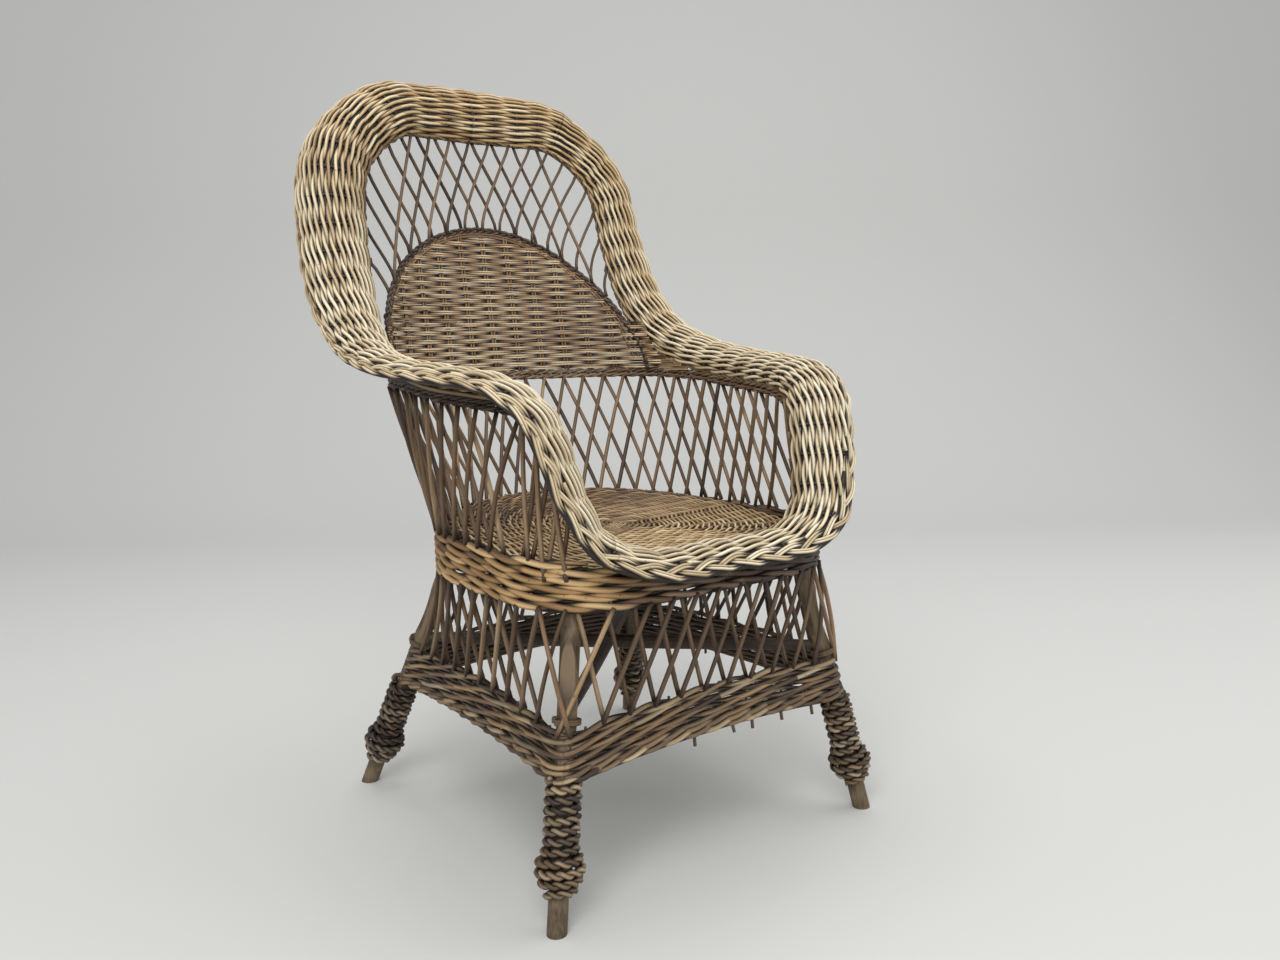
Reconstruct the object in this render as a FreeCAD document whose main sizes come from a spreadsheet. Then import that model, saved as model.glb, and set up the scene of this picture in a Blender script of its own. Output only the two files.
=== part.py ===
import FreeCAD, Part
import Sketcher
import os
import math

os.makedirs("parts", exist_ok=True)
doc = FreeCAD.newDocument("wicker_armchair")
Vector = FreeCAD.Vector
ORIGIN = Vector(0, 0, 0)
X_AXIS = Vector(1, 0, 0)
Z_AXIS = Vector(0, 0, 1)

# Driving dimensions: millimetres, degrees and counts
sheet = doc.addObject("Spreadsheet::Sheet", "Sizes")
sizes = {
    "leg_diameter": 23,
    "front_foot_side": 250,
    "front_foot_reach": 262,
    "rear_foot_side": 242,
    "rear_foot_reach": 262,
    "front_top_side": 181,
    "front_top_reach": -207,
    "rear_top_side": 152,
    "rear_top_reach": 112,
    "shave_height": 270,
    "shave_length": 78,
    "shave_depth": 4,
    "wrap_top": 145,
    "wrap_bottom": 43,
    "wrap_turns": 11,
    "rope_width": 8.2,
    "bulge_level": 68,
    "bulge_rise": 8,
    "bulge_spread": 26,
    "collar_level": 218.6,
    "collar_height": 9,
    "collar_wall": 6,
    "rail_level": 230,
    "rail_diameter": 20,
    "rail_end_diameter": 14,
    "rail_shoulder": 4.2,
    "tenon_diameter": 11,
    "lap_clearance": 0.3,
    "base_front_side": 230,
    "base_rear_side": 209,
    "base_front_reach": 250,
    "base_rear_reach": 197,
    "base_level": 212,
    "base_arch": 12,
    "base_band_height": 40,
    "base_edge_height": 14,
    "base_thickness": 16,
    "seat_side": 237,
    "seat_front_reach": 265,
    "seat_rear_offset": 30,
    "seat_corner": 120,
    "band_level": 347,
    "band_height": 36,
    "upper_band_height": 22,
    "upper_band_end": 196,
    "band_thickness": 18,
    "hoop_width": 22,
    "hoop_height": 18,
    "seat_thickness": 12,
    "seat_front_level": 391.4,
    "seat_front_line": 225,
    "seat_angle": 4.4,
    "seat_dish": 7,
    "seat_ribs": 8,
    "seat_rib_height": 2.8,
    "eye_reach": 45,
    "rod_width": 5.4,
    "layer_gap": 1.7,
    "skirt_rods": 12,
    "skirt_lean": 44,
    "wall_rods": 28,
    "wall_lean": 62,
    "fan_rods": 4,
    "back_rods": 13,
    "back_spread_angle": 78,
    "rim_side": 235,
    "rim_overhang": 44,
    "rim_depth": 540,
    "rim_level": 395,
    "rim_height": 556,
    "roll_rise": 65,
    "roll_reach": 54,
    "rim_wall": 8,
    "roll_angle": 165,
    "waist_height": 14,
    "waist_thickness": 12,
    "back_level": 600,
    "back_inset": 61,
    "back_side": 226,
    "back_angle": 10,
    "panel_thickness": 7,
    "panel_rib_height": 2.6,
    "stake_pitch": 30,
    "arch_height": 212,
    "arch_width": 11,
    "clearance": 0.3,
    "slope_clearance": 0.6,
    "overrun": 30,
}
for row, (name, value) in enumerate(sizes.items(), start=1):
    sheet.set("A%d" % row, name)
    sheet.set("B%d" % row, str(value))
    sheet.setAlias("B%d" % row, name)
doc.recompute()


def size(name):
    return float(getattr(sheet, name))


# Two corners of a face count as level with the rest within this length
flatness = size("clearance") / 1e6


def bind(item, **bindings):
    for prop, expression in bindings.items():
        item.setExpression(prop.replace("__", "."), expression)
    return item


nodes = []


def node(item, label):
    item.Label = label
    nodes.append(item)
    return item


def feature(label, shape, placement=FreeCAD.Placement()):
    item = doc.addObject("Part::Feature", label)
    item.Shape = shape
    item.Placement = placement
    return node(item, label)


def cut(label, base, tools):
    item = doc.addObject("Part::Cut", label)
    item.Base = base
    if len(tools) == 1:
        item.Tool = tools[0]
    else:
        joined = doc.addObject("Part::MultiFuse", label + "Tools")
        joined.Shapes = tools
        item.Tool = joined
    return item


def along(start, direction):
    """Placement that puts a local Z axis on a line."""
    return FreeCAD.Placement(start, FreeCAD.Rotation(Z_AXIS, direction))


def mirrored(shape):
    return shape.mirror(ORIGIN, X_AXIS)


def flat_wire(points):
    return Part.makePolygon(list(points) + [points[0]])


def skin_faces(corners):
    """One flat face on four corners, or two triangles where they don't lie in a plane."""
    a, b, c, d = corners
    normal = (b - a).cross(c - a)
    if abs(normal.dot(d - a)) <= flatness * normal.Length:
        return [Part.Face(flat_wire(corners))]
    return [Part.Face(flat_wire([a, b, c])), Part.Face(flat_wire([a, c, d]))]


def ruled(sections):
    """Closed solid through equal flat polygons, with flat faces between them."""
    faces = [Part.Face(flat_wire(sections[0])), Part.Face(flat_wire(sections[-1]))]
    for lower, upper in zip(sections, sections[1:]):
        for index in range(len(lower)):
            near = index - 1
            faces += skin_faces([lower[near], lower[index], upper[index], upper[near]])
    solid = Part.makeSolid(Part.makeShell(faces))
    if solid.Volume < 0:
        solid.reverse()
    return solid


# Seat outline in plan: rear half circle, straight sides, rounded front corners
def outline_shape(inset):
    side = size("seat_side") - inset
    front = inset - size("seat_front_reach")
    rear = -size("seat_rear_offset")
    corner = size("seat_corner") - inset
    return side, front, rear, corner


def outline_runs(inset=0.0):
    side, front, rear, corner = outline_shape(inset)
    return side - corner, corner * math.pi / 2, rear - front - corner, side * math.pi / 2


def outline_at(length, inset, level):
    """Point of the outline at a length from its front middle, positive towards +X."""
    side, front, rear, corner = outline_shape(inset)
    straight, bend, flank, round_end = outline_runs(inset)
    sign = math.copysign(1, length)
    run = abs(length)
    if run <= straight:
        return Vector(sign * run, front, level)
    run -= straight
    if run <= bend:
        turn = run / corner
        middle = front + corner
        return Vector(sign * (side - corner + corner * math.sin(turn)), middle - corner * math.cos(turn), level)
    run -= bend
    if run <= flank:
        return Vector(sign * side, front + corner + run, level)
    turn = (run - flank) / side
    return Vector(sign * side * math.cos(turn), rear + side * math.sin(turn), level)


def add_outline(sketch, inset, inset_value):
    side, front, rear, corner = outline_shape(inset_value)
    first = sketch.GeometryCount
    rear_circle = Part.Circle(Vector(0, rear, 0), Z_AXIS, side)
    left_circle = Part.Circle(Vector(corner - side, front + corner, 0), Z_AXIS, corner)
    right_circle = Part.Circle(Vector(side - corner, front + corner, 0), Z_AXIS, corner)
    half = math.pi
    sketch.addGeometry(Part.ArcOfCircle(rear_circle, 0, half))
    sketch.addGeometry(Part.LineSegment(Vector(-side, rear, 0), Vector(-side, front + corner, 0)))
    sketch.addGeometry(Part.ArcOfCircle(left_circle, half, 1.5 * half))
    sketch.addGeometry(Part.LineSegment(Vector(corner - side, front, 0), Vector(side - corner, front, 0)))
    sketch.addGeometry(Part.ArcOfCircle(right_circle, 1.5 * half, 2 * half))
    sketch.addGeometry(Part.LineSegment(Vector(side, front + corner, 0), Vector(side, rear, 0)))
    rear_arc, left_line, left_arc, front_line, right_arc, right_line = range(first, first + 6)
    ring = [rear_arc, left_line, left_arc, front_line, right_arc, right_line]
    for this, following in zip(ring, ring[1:] + ring[:1]):
        sketch.addConstraint(Sketcher.Constraint("Tangent", this, 2, following, 1))
    sketch.addConstraint(Sketcher.Constraint("Vertical", left_line))
    sketch.addConstraint(Sketcher.Constraint("Vertical", right_line))
    sketch.addConstraint(Sketcher.Constraint("Horizontal", front_line))
    sketch.addConstraint(Sketcher.Constraint("PointOnObject", rear_arc, 3, -2))
    sketch.addConstraint(Sketcher.Constraint("Equal", left_arc, right_arc))
    measured = [
        (Sketcher.Constraint("Radius", rear_arc, side), "Sizes.seat_side - " + inset),
        (Sketcher.Constraint("DistanceY", rear_arc, 3, -1, 1, -rear), "Sizes.seat_rear_offset"),
        (Sketcher.Constraint("Radius", left_arc, corner), "Sizes.seat_corner - " + inset),
        (Sketcher.Constraint("DistanceY", front_line, 1, -1, 1, -front), "Sizes.seat_front_reach - " + inset),
    ]
    for constraint, expression in measured:
        index = sketch.addConstraint(constraint)
        sketch.setExpression("Constraints[%d]" % index, "(" + expression + ") * 1mm")


def new_body(label):
    return doc.addObject("PartDesign::Body", label)


def sketch_on(body, role):
    sketch = body.newObject("Sketcher::SketchObject", body.Name + role.replace("_Plane", "Sketch"))
    plane = next(item for item in body.Origin.OriginFeatures if item.Role == role)
    sketch.AttachmentSupport = [(plane, "")]
    sketch.MapMode = "FlatFace"
    return sketch


def outline_body(label, insets, height):
    """Plate or ring that follows the seat outline: one inset expression, or an outer and an inner one."""
    body = new_body(label)
    sketch = sketch_on(body, "XY_Plane")
    for expression, value in insets:
        add_outline(sketch, expression, value)
    pad = body.newObject("PartDesign::Pad", label + "Pad")
    pad.Profile = sketch
    bind(pad, Length="Sizes." + height)
    return body


# Planes of the seat: its top, its underside and the underside of the hoop
seat_rotation = FreeCAD.Rotation(X_AXIS, size("seat_angle"))
seat_slope = math.tan(math.radians(size("seat_angle")))
seat_normal = seat_rotation.multVec(Z_AXIS)
hoop_drop = seat_normal * (size("seat_thickness") + size("hoop_height"))
seat_front = Vector(0, -size("seat_front_line"), size("seat_front_level"))
seat_base = Vector(0, 0, seat_front.z + seat_slope * size("seat_front_line"))


def on_seat(drop, height):
    """Placement of a plate parallel to the seat, its outline above its plan at half its height."""
    slide = Vector(0, -seat_slope * (drop + height / 2), 0)
    return FreeCAD.Placement(seat_base - seat_normal * (drop + height) + seat_rotation.multVec(slide), seat_rotation)


def hoop_underside(reach):
    return (seat_base - hoop_drop).z + seat_slope * (reach + hoop_drop.y)


# Legs: splayed round posts with long shaved facets, standing flat on the floor
def leg_line(front, sign):
    place = "front" if front else "rear"
    turn = -1 if front else 1
    foot = Vector(sign * size(place + "_foot_side"), turn * size(place + "_foot_reach"), 0)
    reach = size(place + "_top_reach")
    top = Vector(sign * size(place + "_top_side"), reach, hoop_underside(reach))
    return foot, top


def leg_at(line, level):
    foot, top = line
    return foot + (top - foot) * (level / top.z)


legs = {
    "front_left": leg_line(True, -1),
    "front_right": leg_line(True, 1),
    "back_left": leg_line(False, -1),
    "back_right": leg_line(False, 1),
}
opposite = {
    "front_left": "back_right",
    "back_right": "front_left",
    "front_right": "back_left",
    "back_left": "front_right",
}
leg_radius = size("leg_diameter") / 2
floor_box = doc.addObject("Part::Box", "FloorCut")
bind(floor_box, Length="4 * Sizes.seat_side", Width="4 * Sizes.seat_side", Height="Sizes.overrun * 2")
floor_box.Placement.Base = Vector(-2 * size("seat_side"), -2 * size("seat_side"), -2 * size("overrun"))
top_box = doc.addObject("Part::Box", "HoopPlaneCut")
bind(top_box, Length="4 * Sizes.seat_side", Width="4 * Sizes.seat_side", Height="Sizes.overrun * 4")
top_corner = seat_rotation.multVec(Vector(-2 * size("seat_side"), -2 * size("seat_side"), 0))
top_box.Placement = FreeCAD.Placement(seat_base - hoop_drop + top_corner, seat_rotation)


def leg_post(name, line):
    foot, top = line
    axis = (top - foot).normalize()
    post = doc.addObject("Part::Cylinder", "Post_" + name)
    bind(post, Radius="Sizes.leg_diameter / 2")
    post.Height = (top - foot).Length + 2 * size("overrun")
    post.Placement = along(foot - axis * size("overrun"), axis)
    return post


def shave_cutter(name, line):
    """Wide cylinder across the post that shaves a long lens into it."""
    foot, top = line
    axis = (top - foot).normalize()
    half = size("shave_length") / 2
    depth = size("shave_depth")
    radius = (half * half + depth * depth) / (2 * depth)
    outward = Vector(foot.x, foot.y, 0)
    outward = (outward - axis * outward.dot(axis)).normalize()
    across = axis.cross(outward)
    middle = leg_at(line, size("shave_height")) + outward * (leg_radius - depth + radius)
    cutter = doc.addObject("Part::Cylinder", "Shave_" + name)
    cutter.Radius = radius
    bind(cutter, Height="Sizes.overrun * 2")
    cutter.Placement = along(middle - across * size("overrun"), across)
    return cutter


def tenon(name, inward):
    """Round tenon of a rail in this leg, from the leg's axis towards its shoulder."""
    level = size("rail_level")
    middle = leg_at(legs[name], level)
    direction = (leg_at(legs[inward], level) - middle).normalize()
    hole = doc.addObject("Part::Cylinder", "Mortise_" + name)
    bind(hole, Radius="Sizes.tenon_diameter / 2", Height="Sizes.leg_diameter")
    hole.Placement = along(middle, direction)
    return hole


for name, line in legs.items():
    post = leg_post(name, line)
    shave = shave_cutter(name, line)
    mortise = tenon(name, opposite[name])
    leg = cut("leg_" + name, post, [floor_box, top_box, mortise, shave])
    node(leg, "leg_" + name)


# Leg windings: one unbroken rope round each leg, over a swelling near its foot
turn_steps = 12
wind_steps = 8
padding_shares = [-0.6, -0.3, 0.0, 0.3, 0.6]
chord_share = math.cos(math.pi / turn_steps)


def swelling(run):
    share = run / size("bulge_spread")
    return size("bulge_rise") * math.cos(share * math.pi / 2) ** 2 if abs(share) < 1 else 0.0


def ring_points(radius, run):
    angles = [2 * math.pi * step / turn_steps for step in range(turn_steps)]
    return [Vector(radius * math.cos(angle), radius * math.sin(angle), run) for angle in angles]


def winding(line):
    """Square rope in one unbroken run, whose inner side just clears the post at each chord."""
    foot, top = line
    place = along(foot, top - foot)
    length_share = (top - foot).Length / top.z
    start_run = size("wrap_bottom") * length_share
    end_run = size("wrap_top") * length_share
    bulge_run = size("bulge_level") * length_share
    steps = int(size("wrap_turns")) * wind_steps
    width = size("rope_width")
    sections = []
    for step in range(steps + 1):
        run = start_run + (end_run - start_run) * step / steps
        inner = (leg_radius + size("clearance") + swelling(run - bulge_run)) / math.cos(math.pi / wind_steps)
        angle = 2 * math.pi * step / wind_steps
        out = Vector(math.cos(angle), math.sin(angle), 0)
        near = out * inner
        far = out * (inner + width)
        low = Vector(0, 0, run - width / 2)
        high = Vector(0, 0, run + width / 2)
        corners = [near + low, far + low, far + high, near + high]
        sections.append([place.multVec(corner) for corner in corners])
    middles = [(points[0] + points[2]) * 0.5 for points in sections]
    gap = min(
        here.distanceToPoint(there) - width
        for index, here in enumerate(middles)
        for there in middles[index + wind_steps // 2 : index + 2 * wind_steps]
    )
    return ruled(sections), gap


def padding(line):
    """Lens of bound cane under the swelling."""
    foot, top = line
    place = along(foot, top - foot)
    bulge_run = size("bulge_level") * (top - foot).Length / top.z
    sections = []
    for share in padding_shares:
        run = size("bulge_spread") * share
        radius = leg_radius + swelling(abs(run) + size("rope_width") / 2)
        sections.append([place.multVec(corner) for corner in ring_points(radius, bulge_run + run)])
    bore = [
        [place.multVec(corner) for corner in ring_points(leg_radius / chord_share, run)]
        for run in (0, (top - foot).Length)
    ]
    return ruled(sections).cut(ruled(bore))


wraps = []
for name, line in legs.items():
    rope, gap = winding(line)
    print("winding", name, "least gap to itself, mm:", round(gap, 2))
    wraps.append(rope)
feature("leg_wraps", Part.makeCompound(wraps))
feature("leg_paddings", Part.makeCompound([padding(line) for line in legs.values()]))


# Cane collars round the legs, just above the base border
def collar(name, line):
    foot, top = line
    outer = doc.addObject("Part::Prism", "CollarOuter_" + name)
    inner = doc.addObject("Part::Prism", "CollarBore_" + name)
    outer.Polygon = turn_steps
    inner.Polygon = turn_steps
    bind(outer, Circumradius="Sizes.leg_diameter / 2 + Sizes.collar_wall", Height="Sizes.collar_height")
    bind(inner, Circumradius="Sizes.leg_diameter / 2 / cos(180deg / %d)" % turn_steps, Height="Sizes.collar_height")
    outer.Placement = along(leg_at(line, size("collar_level")), top - foot)
    inner.Placement = outer.Placement
    return cut("Collar_" + name, outer, [inner])


collars = doc.addObject("Part::Compound", "leg_collars")
collars.Links = [collar(name, line) for name, line in legs.items()]
node(collars, "leg_collars")


# Crossed rails between the legs: shaved round bars, thick in the middle, half lapped where they cross
def rail_ends(name):
    level = size("rail_level")
    return leg_at(legs[name], level), leg_at(legs[opposite[name]], level)


def crossing_of(first, second):
    start, end = first
    other, other_end = second
    along_first = end - start
    across = other_end - other
    share = (other - start).cross(across).z / along_first.cross(across).z
    return start + along_first * share


rail_shares = [0.0, 0.2, 0.4, 0.6, 0.8, 1.0]
rail_crossing = crossing_of(rail_ends("front_left"), rail_ends("front_right"))


def rail(name, upper):
    start, end = rail_ends(name)
    direction = (end - start).normalize()
    shoulder = leg_radius + size("rail_shoulder")
    length = (end - start).Length
    tenon_radius = size("tenon_diameter") / 2
    end_radius = size("rail_end_diameter") / 2
    swell = (size("rail_diameter") - size("rail_end_diameter")) / 2
    profile = [(0, tenon_radius), (shoulder, tenon_radius)]
    for share in rail_shares:
        profile.append((shoulder + (length - 2 * shoulder) * share, end_radius + swell * (1 - (2 * share - 1) ** 2)))
    profile += [(length - shoulder, tenon_radius), (length, tenon_radius)]
    place = along(start, direction)
    sections = [[place.multVec(corner) for corner in ring_points(radius, run)] for run, radius in profile]
    body = doc.addObject("Part::Feature", "RailBar_" + name)
    body.Shape = ruled(sections)
    half = size("rail_diameter") / 2 + size("lap_clearance")
    notch = doc.addObject("Part::Box", "Lap_" + name)
    bind(
        notch,
        Length="Sizes.rail_diameter + 2 * Sizes.lap_clearance",
        Width="Sizes.rail_diameter + 2 * Sizes.lap_clearance",
        Height="Sizes.rail_diameter / 2 + Sizes.lap_clearance",
    )
    turn = FreeCAD.Rotation(X_AXIS, direction)
    drop = 0 if upper else -half
    notch.Placement = FreeCAD.Placement(rail_crossing + turn.multVec(Vector(-half, -half, drop)), turn)
    return node(cut("rail_from_" + name, body, [notch]), "rail_from_" + name)


rail("front_left", True)
rail("front_right", False)


# Seat hoop, woven seat and the wale bands round them
band_gap = "(Sizes.band_thickness + Sizes.clearance)"
band_gap_value = size("band_thickness") + size("clearance")
hoop_inner = "(Sizes.band_thickness + Sizes.clearance + Sizes.hoop_width)"
hoop_blank = outline_body(
    "seat_hoop",
    [(band_gap, band_gap_value), (hoop_inner, band_gap_value + size("hoop_width"))],
    "hoop_height",
)
hoop_blank.Placement = on_seat(size("seat_thickness"), size("hoop_height"))
node(hoop_blank, "seat_hoop")

eye_share = 0.035
dish_share = 1.06
seat_blank = outline_body("SeatBlank", [(band_gap, band_gap_value)], "seat_thickness")
seat_blank.Placement = on_seat(0, size("seat_thickness"))
dish = doc.addObject("Part::Feature", "SeatDish")


def seat_ring(share, drop):
    """Flat ring of the weave: the seat's outline drawn in towards the eye."""
    total = sum(outline_runs(band_gap_value))
    eye = Vector(0, -size("eye_reach"), 0)
    corners = []
    for step in range(2 * turn_steps):
        run = total * (step / turn_steps - 1)
        corner = eye + (outline_at(run, band_gap_value, 0) - eye) * share
        corners.append(seat_base + seat_rotation.multVec(corner - Vector(0, 0, drop)))
    return corners


# Raised rings of the weave, each with a groove outside it, on a seat that dips to its eye
seat_ribs = int(size("seat_ribs"))
dish_sections = []
for half_step in range(2 * seat_ribs + 1):
    part = half_step / (2 * seat_ribs)
    groove = size("seat_rib_height") if half_step % 2 else 0
    dish_sections.append(seat_ring(eye_share + (dish_share - eye_share) * part, size("seat_dish") * (1 - part) + groove))
dish.Shape = ruled(dish_sections)
node(cut("seat_panel", seat_blank, [dish]), "seat_panel")

band = outline_body("BandRing", [("0", 0.0), ("Sizes.band_thickness", size("band_thickness"))], "band_height")
bind(band, Placement__Base__z="Sizes.band_level")
posts = [doc.getObject("Post_" + name) for name in legs]
node(cut("seat_band", band, posts), "seat_band")

upper_ring = outline_body(
    "UpperBandRing",
    [("0", 0.0), ("Sizes.band_thickness", size("band_thickness"))],
    "upper_band_height",
)
bind(upper_ring, Placement__Base__z="Sizes.band_level + Sizes.band_height")
front_box = doc.addObject("Part::Box", "UpperBandEnd")
bind(
    front_box,
    Length="4 * Sizes.seat_side",
    Width="2 * Sizes.seat_side",
    Height="Sizes.upper_band_height * 3",
)
bind(
    front_box,
    Placement__Base__x="-2 * Sizes.seat_side",
    Placement__Base__y="-Sizes.upper_band_end - 2 * Sizes.seat_side",
    Placement__Base__z="Sizes.band_level + Sizes.band_height - Sizes.upper_band_height",
)
node(cut("seat_band_upper", upper_ring, [front_box] + posts), "seat_band_upper")
wall_foot = size("band_level") + size("band_height") + size("upper_band_height")


# Base border: four arched bars, mitred at the corners round the legs, each with a lower edge
def base_corner(front, sign, level, inset):
    line = leg_line(front, sign)
    side = size("base_front_side") if front else size("base_rear_side")
    reach = -size("base_front_reach") if front else size("base_rear_reach")
    top = size("base_level")
    shift = leg_at(line, level) - leg_at(line, top)
    turn = 1 if front else -1
    return Vector(sign * (side - inset) + shift.x, reach + turn * inset + shift.y, level)


sides = {
    "front": ((True, -1), (True, 1)),
    "right": ((True, 1), (False, 1)),
    "back": ((False, 1), (False, -1)),
    "left": ((False, -1), (True, -1)),
}


def base_top(side, share):
    """Height of the arched top edge at a share of its length."""
    return size("base_level") + size("base_arch") * (1 - (2 * share - 1) ** 2)


def base_bar(side, drop, height):
    """Arched bar with mitred ends, its faces in line with the slope of the legs."""
    (front_a, sign_a), (front_b, sign_b) = sides[side]
    inset = size("base_thickness")
    sections = []
    for step in range(bar_steps + 1):
        share = step / bar_steps
        corners = []
        for down, depth in ((drop, 0), (drop, inset), (drop + height, inset), (drop + height, 0)):
            level = base_top(side, share) - down
            a = base_corner(front_a, sign_a, level, depth)
            b = base_corner(front_b, sign_b, level, depth)
            corners.append(a + (b - a) * share)
        sections.append(corners)
    return ruled(sections)


bar_steps = 8
doc.recompute()
leg_posts = Part.makeCompound([doc.getObject("Post_" + name).Shape for name in legs])
for side in sides:
    border = base_bar(side, 0, size("base_band_height"))
    edge = base_bar(side, size("base_band_height") + size("clearance"), size("base_edge_height"))
    feature("base_border_" + side, border.cut(leg_posts))
    feature("base_edge_" + side, edge.cut(leg_posts))


# Lattice rods: six-sided, with level ends that sit on level faces
rod_radius = size("rod_width") / 2


def hexagon(middle, first, second):
    return [
        middle + (first * math.cos(turn * math.pi / 3) + second * math.sin(turn * math.pi / 3)) * rod_radius
        for turn in range(6)
    ]


def level_rod(points):
    """Rod that bows through three points of a wall."""
    return ruled([hexagon(point, X_AXIS, Vector(0, 1, 0)) for point in points])


def free_rod(points, low_normal, high_normal):
    """Rod with square ends, drawn back so that they just clear two sloping seats."""
    axis = (points[-1] - points[0]).normalize()
    low, high = points[0], points[-1]
    drawn = []
    for end, normal in ((low, low_normal), (high, high_normal)):
        lean = abs(axis.dot(normal))
        drawn.append(rod_radius * math.sqrt(1 - lean * lean) / lean + size("clearance"))
    across = axis.cross(Vector(0, 1, 0)).normalize()
    line = [low + axis * drawn[0]] + list(points[1:-1]) + [high - axis * drawn[1]]
    return ruled([hexagon(point, across, axis.cross(across)) for point in line])


layers = {"outer": 0, "inner": 1}
layer_step = size("rod_width") + size("layer_gap")
layer_start = rod_radius + 2 * size("clearance")


def clear_of_legs(points):
    path = Part.makePolygon(points)
    for line in legs.values():
        foot, top = line
        if path.distToShape(Part.makeLine(foot, top))[0] < leg_radius + rod_radius + size("clearance"):
            return False
        ring = Part.makeLine(leg_at(line, size("collar_level")), leg_at(line, size("collar_level") + size("collar_height")))
        if path.distToShape(ring)[0] < leg_radius + size("collar_wall") + rod_radius + size("layer_gap"):
            return False
    return True


def skirt(side, layer):
    (front_a, sign_a), (front_b, sign_b) = sides[side]
    inset = layer_start + layer_step * layers[layer]
    count = int(size("skirt_rods"))
    a = base_corner(front_a, sign_a, size("base_level"), inset)
    b = base_corner(front_b, sign_b, size("base_level"), inset)
    total = 2 * sum(outline_runs(inset))
    corner_run = outline_runs(inset)[0] + outline_runs(inset)[1] / 2
    rear_run = total / 2 - size("seat_side") * math.pi / 4
    spans = {
        "front": (-corner_run, corner_run),
        "right": (corner_run, rear_run),
        "back": (rear_run, total - rear_run),
        "left": (total - rear_run, total - corner_run),
    }
    start, end = spans[side]

    def low_at(share):
        point = a + (b - a) * share
        point.z = base_top(side, share) + size("slope_clearance")
        return point

    def high_at(share):
        run = start + (end - start) * share
        return outline_at(run - total if run > total / 2 else run, inset, size("band_level"))

    lean = size("skirt_lean") / (end - start) * (1 if layer == "outer" else -1)
    rods = []
    for index in range(count):
        share = (index + 0.5) / count
        middle = (low_at(share + lean / 2) + high_at(share + lean / 2)) * 0.5
        points = [low_at(share), middle, high_at(share + lean)]
        if clear_of_legs(points):
            rods.append(level_rod(points))
    return rods


for side in sides:
    feature("skirt_rods_" + side, Part.makeCompound(skirt(side, "outer") + skirt(side, "inner")))

# Rolled rim: shares along its half loop, from the front middle over the arm to the middle of the crest
rim_place_shares = [
    (0.0, 0.0, 0.0), (0.43, -0.007, 0.004), (0.645, 0.011, 0.05), (0.72, 0.034, 0.131),
    (0.76, 0.054, 0.221), (0.803, 0.084, 0.288), (0.868, 0.149, 0.322), (0.952, 0.272, 0.336),
    (1.0, 0.43, 0.349), (0.985, 0.593, 0.38), (0.932, 0.733, 0.446), (0.884, 0.834, 0.569),
    (0.852, 0.893, 0.732), (0.79, 0.922, 0.888), (0.551, 0.95, 0.984), (0.287, 0.985, 1.0),
    (0.0, 0.995, 1.0),
]
rim_outward_shares = [
    (0.0, -0.93, -0.36), (0.11, -0.94, -0.32), (0.59, -0.79, -0.18), (0.77, -0.64, 0.0),
    (0.83, -0.56, 0.0), (0.86, -0.51, 0.05), (0.92, -0.37, 0.14), (0.96, -0.23, 0.14),
    (0.99, -0.05, 0.15), (0.99, 0.07, 0.15), (0.99, 0.13, 0.1), (0.97, 0.26, -0.03),
    (0.89, 0.46, -0.05), (0.74, 0.65, 0.18), (0.31, 0.83, 0.46), (0.15, 0.86, 0.49),
    (0.0, 0.86, 0.5),
]
rise_shares = [0.34, 0.35, 0.37, 0.4, 0.43, 0.46, 0.49, 0.52, 0.55, 0.6, 0.65, 0.71, 0.77, 0.85, 0.92, 0.97, 1.0]
reach_shares = [0.7, 0.75, 0.81, 0.85, 0.85, 0.85, 0.85, 0.85, 0.87, 0.87, 0.89, 0.93, 0.94, 0.96, 0.98, 1.0, 1.0]
last_station = len(rim_place_shares) - 1

# Rolled rim set in from the front of the seat, and the back set in from the crest
rim_front = size("seat_front_reach") - size("rim_overhang")
back_reach = size("rim_depth") - rim_front - size("back_inset")


def rim_row(index):
    """Place, outward direction, rise and reach of a station; past the ends, those of the other half."""
    flip = 1
    if index < 0:
        index = -index
        flip = -1
    if index > last_station:
        index = 2 * last_station - index
        flip = -flip
    x, y, z = rim_place_shares[index]
    out_x, out_y, out_z = rim_outward_shares[index]
    return [
        flip * x * size("rim_side"),
        y * size("rim_depth") - rim_front,
        z * size("rim_height") + size("rim_level"),
        flip * out_x,
        out_y,
        out_z,
        rise_shares[index] * size("roll_rise"),
        reach_shares[index] * size("roll_reach"),
    ]


def rim_values(station):
    index = math.floor(station)
    t = station - index
    a, b, c, d = (rim_row(index + step) for step in (-1, 0, 1, 2))
    return [
        (2 * q + (r - p) * t + (2 * p - 5 * q + 4 * r - s) * t * t + (3 * q - p - 3 * r + s) * t ** 3) / 2
        for p, q, r, s in zip(a, b, c, d)
    ]


def rim_frame(station):
    """Edge point, outward direction, direction away from the lattice, rise and reach."""
    step = 0.05
    values = rim_values(station)
    edge = Vector(*values[:3])
    tangent = (Vector(*rim_values(station + step)[:3]) - Vector(*rim_values(station - step)[:3])).normalize()
    outward = Vector(*values[3:6])
    outward = (outward - tangent * outward.dot(tangent)).normalize()
    away = outward.cross(tangent)
    return edge, outward, away, values[6], values[7]


section_steps = 6


def rim_section(station):
    edge, outward, away, rise, reach = rim_frame(station)
    middle = edge + outward * reach
    points = []
    for depth, order in ((0, range(section_steps + 1)), (size("rim_wall"), range(section_steps, -1, -1))):
        for step in order:
            angle = math.radians(size("roll_angle")) * step / section_steps
            rise_part = away * ((rise - depth) * math.sin(angle))
            points.append(middle + rise_part - outward * ((reach - depth) * math.cos(angle)))
    return points


def rim_length(first, last):
    count = int((last - first) * 2)
    return ruled([rim_section(first + step / 2) for step in range(count + 1)])


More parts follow.
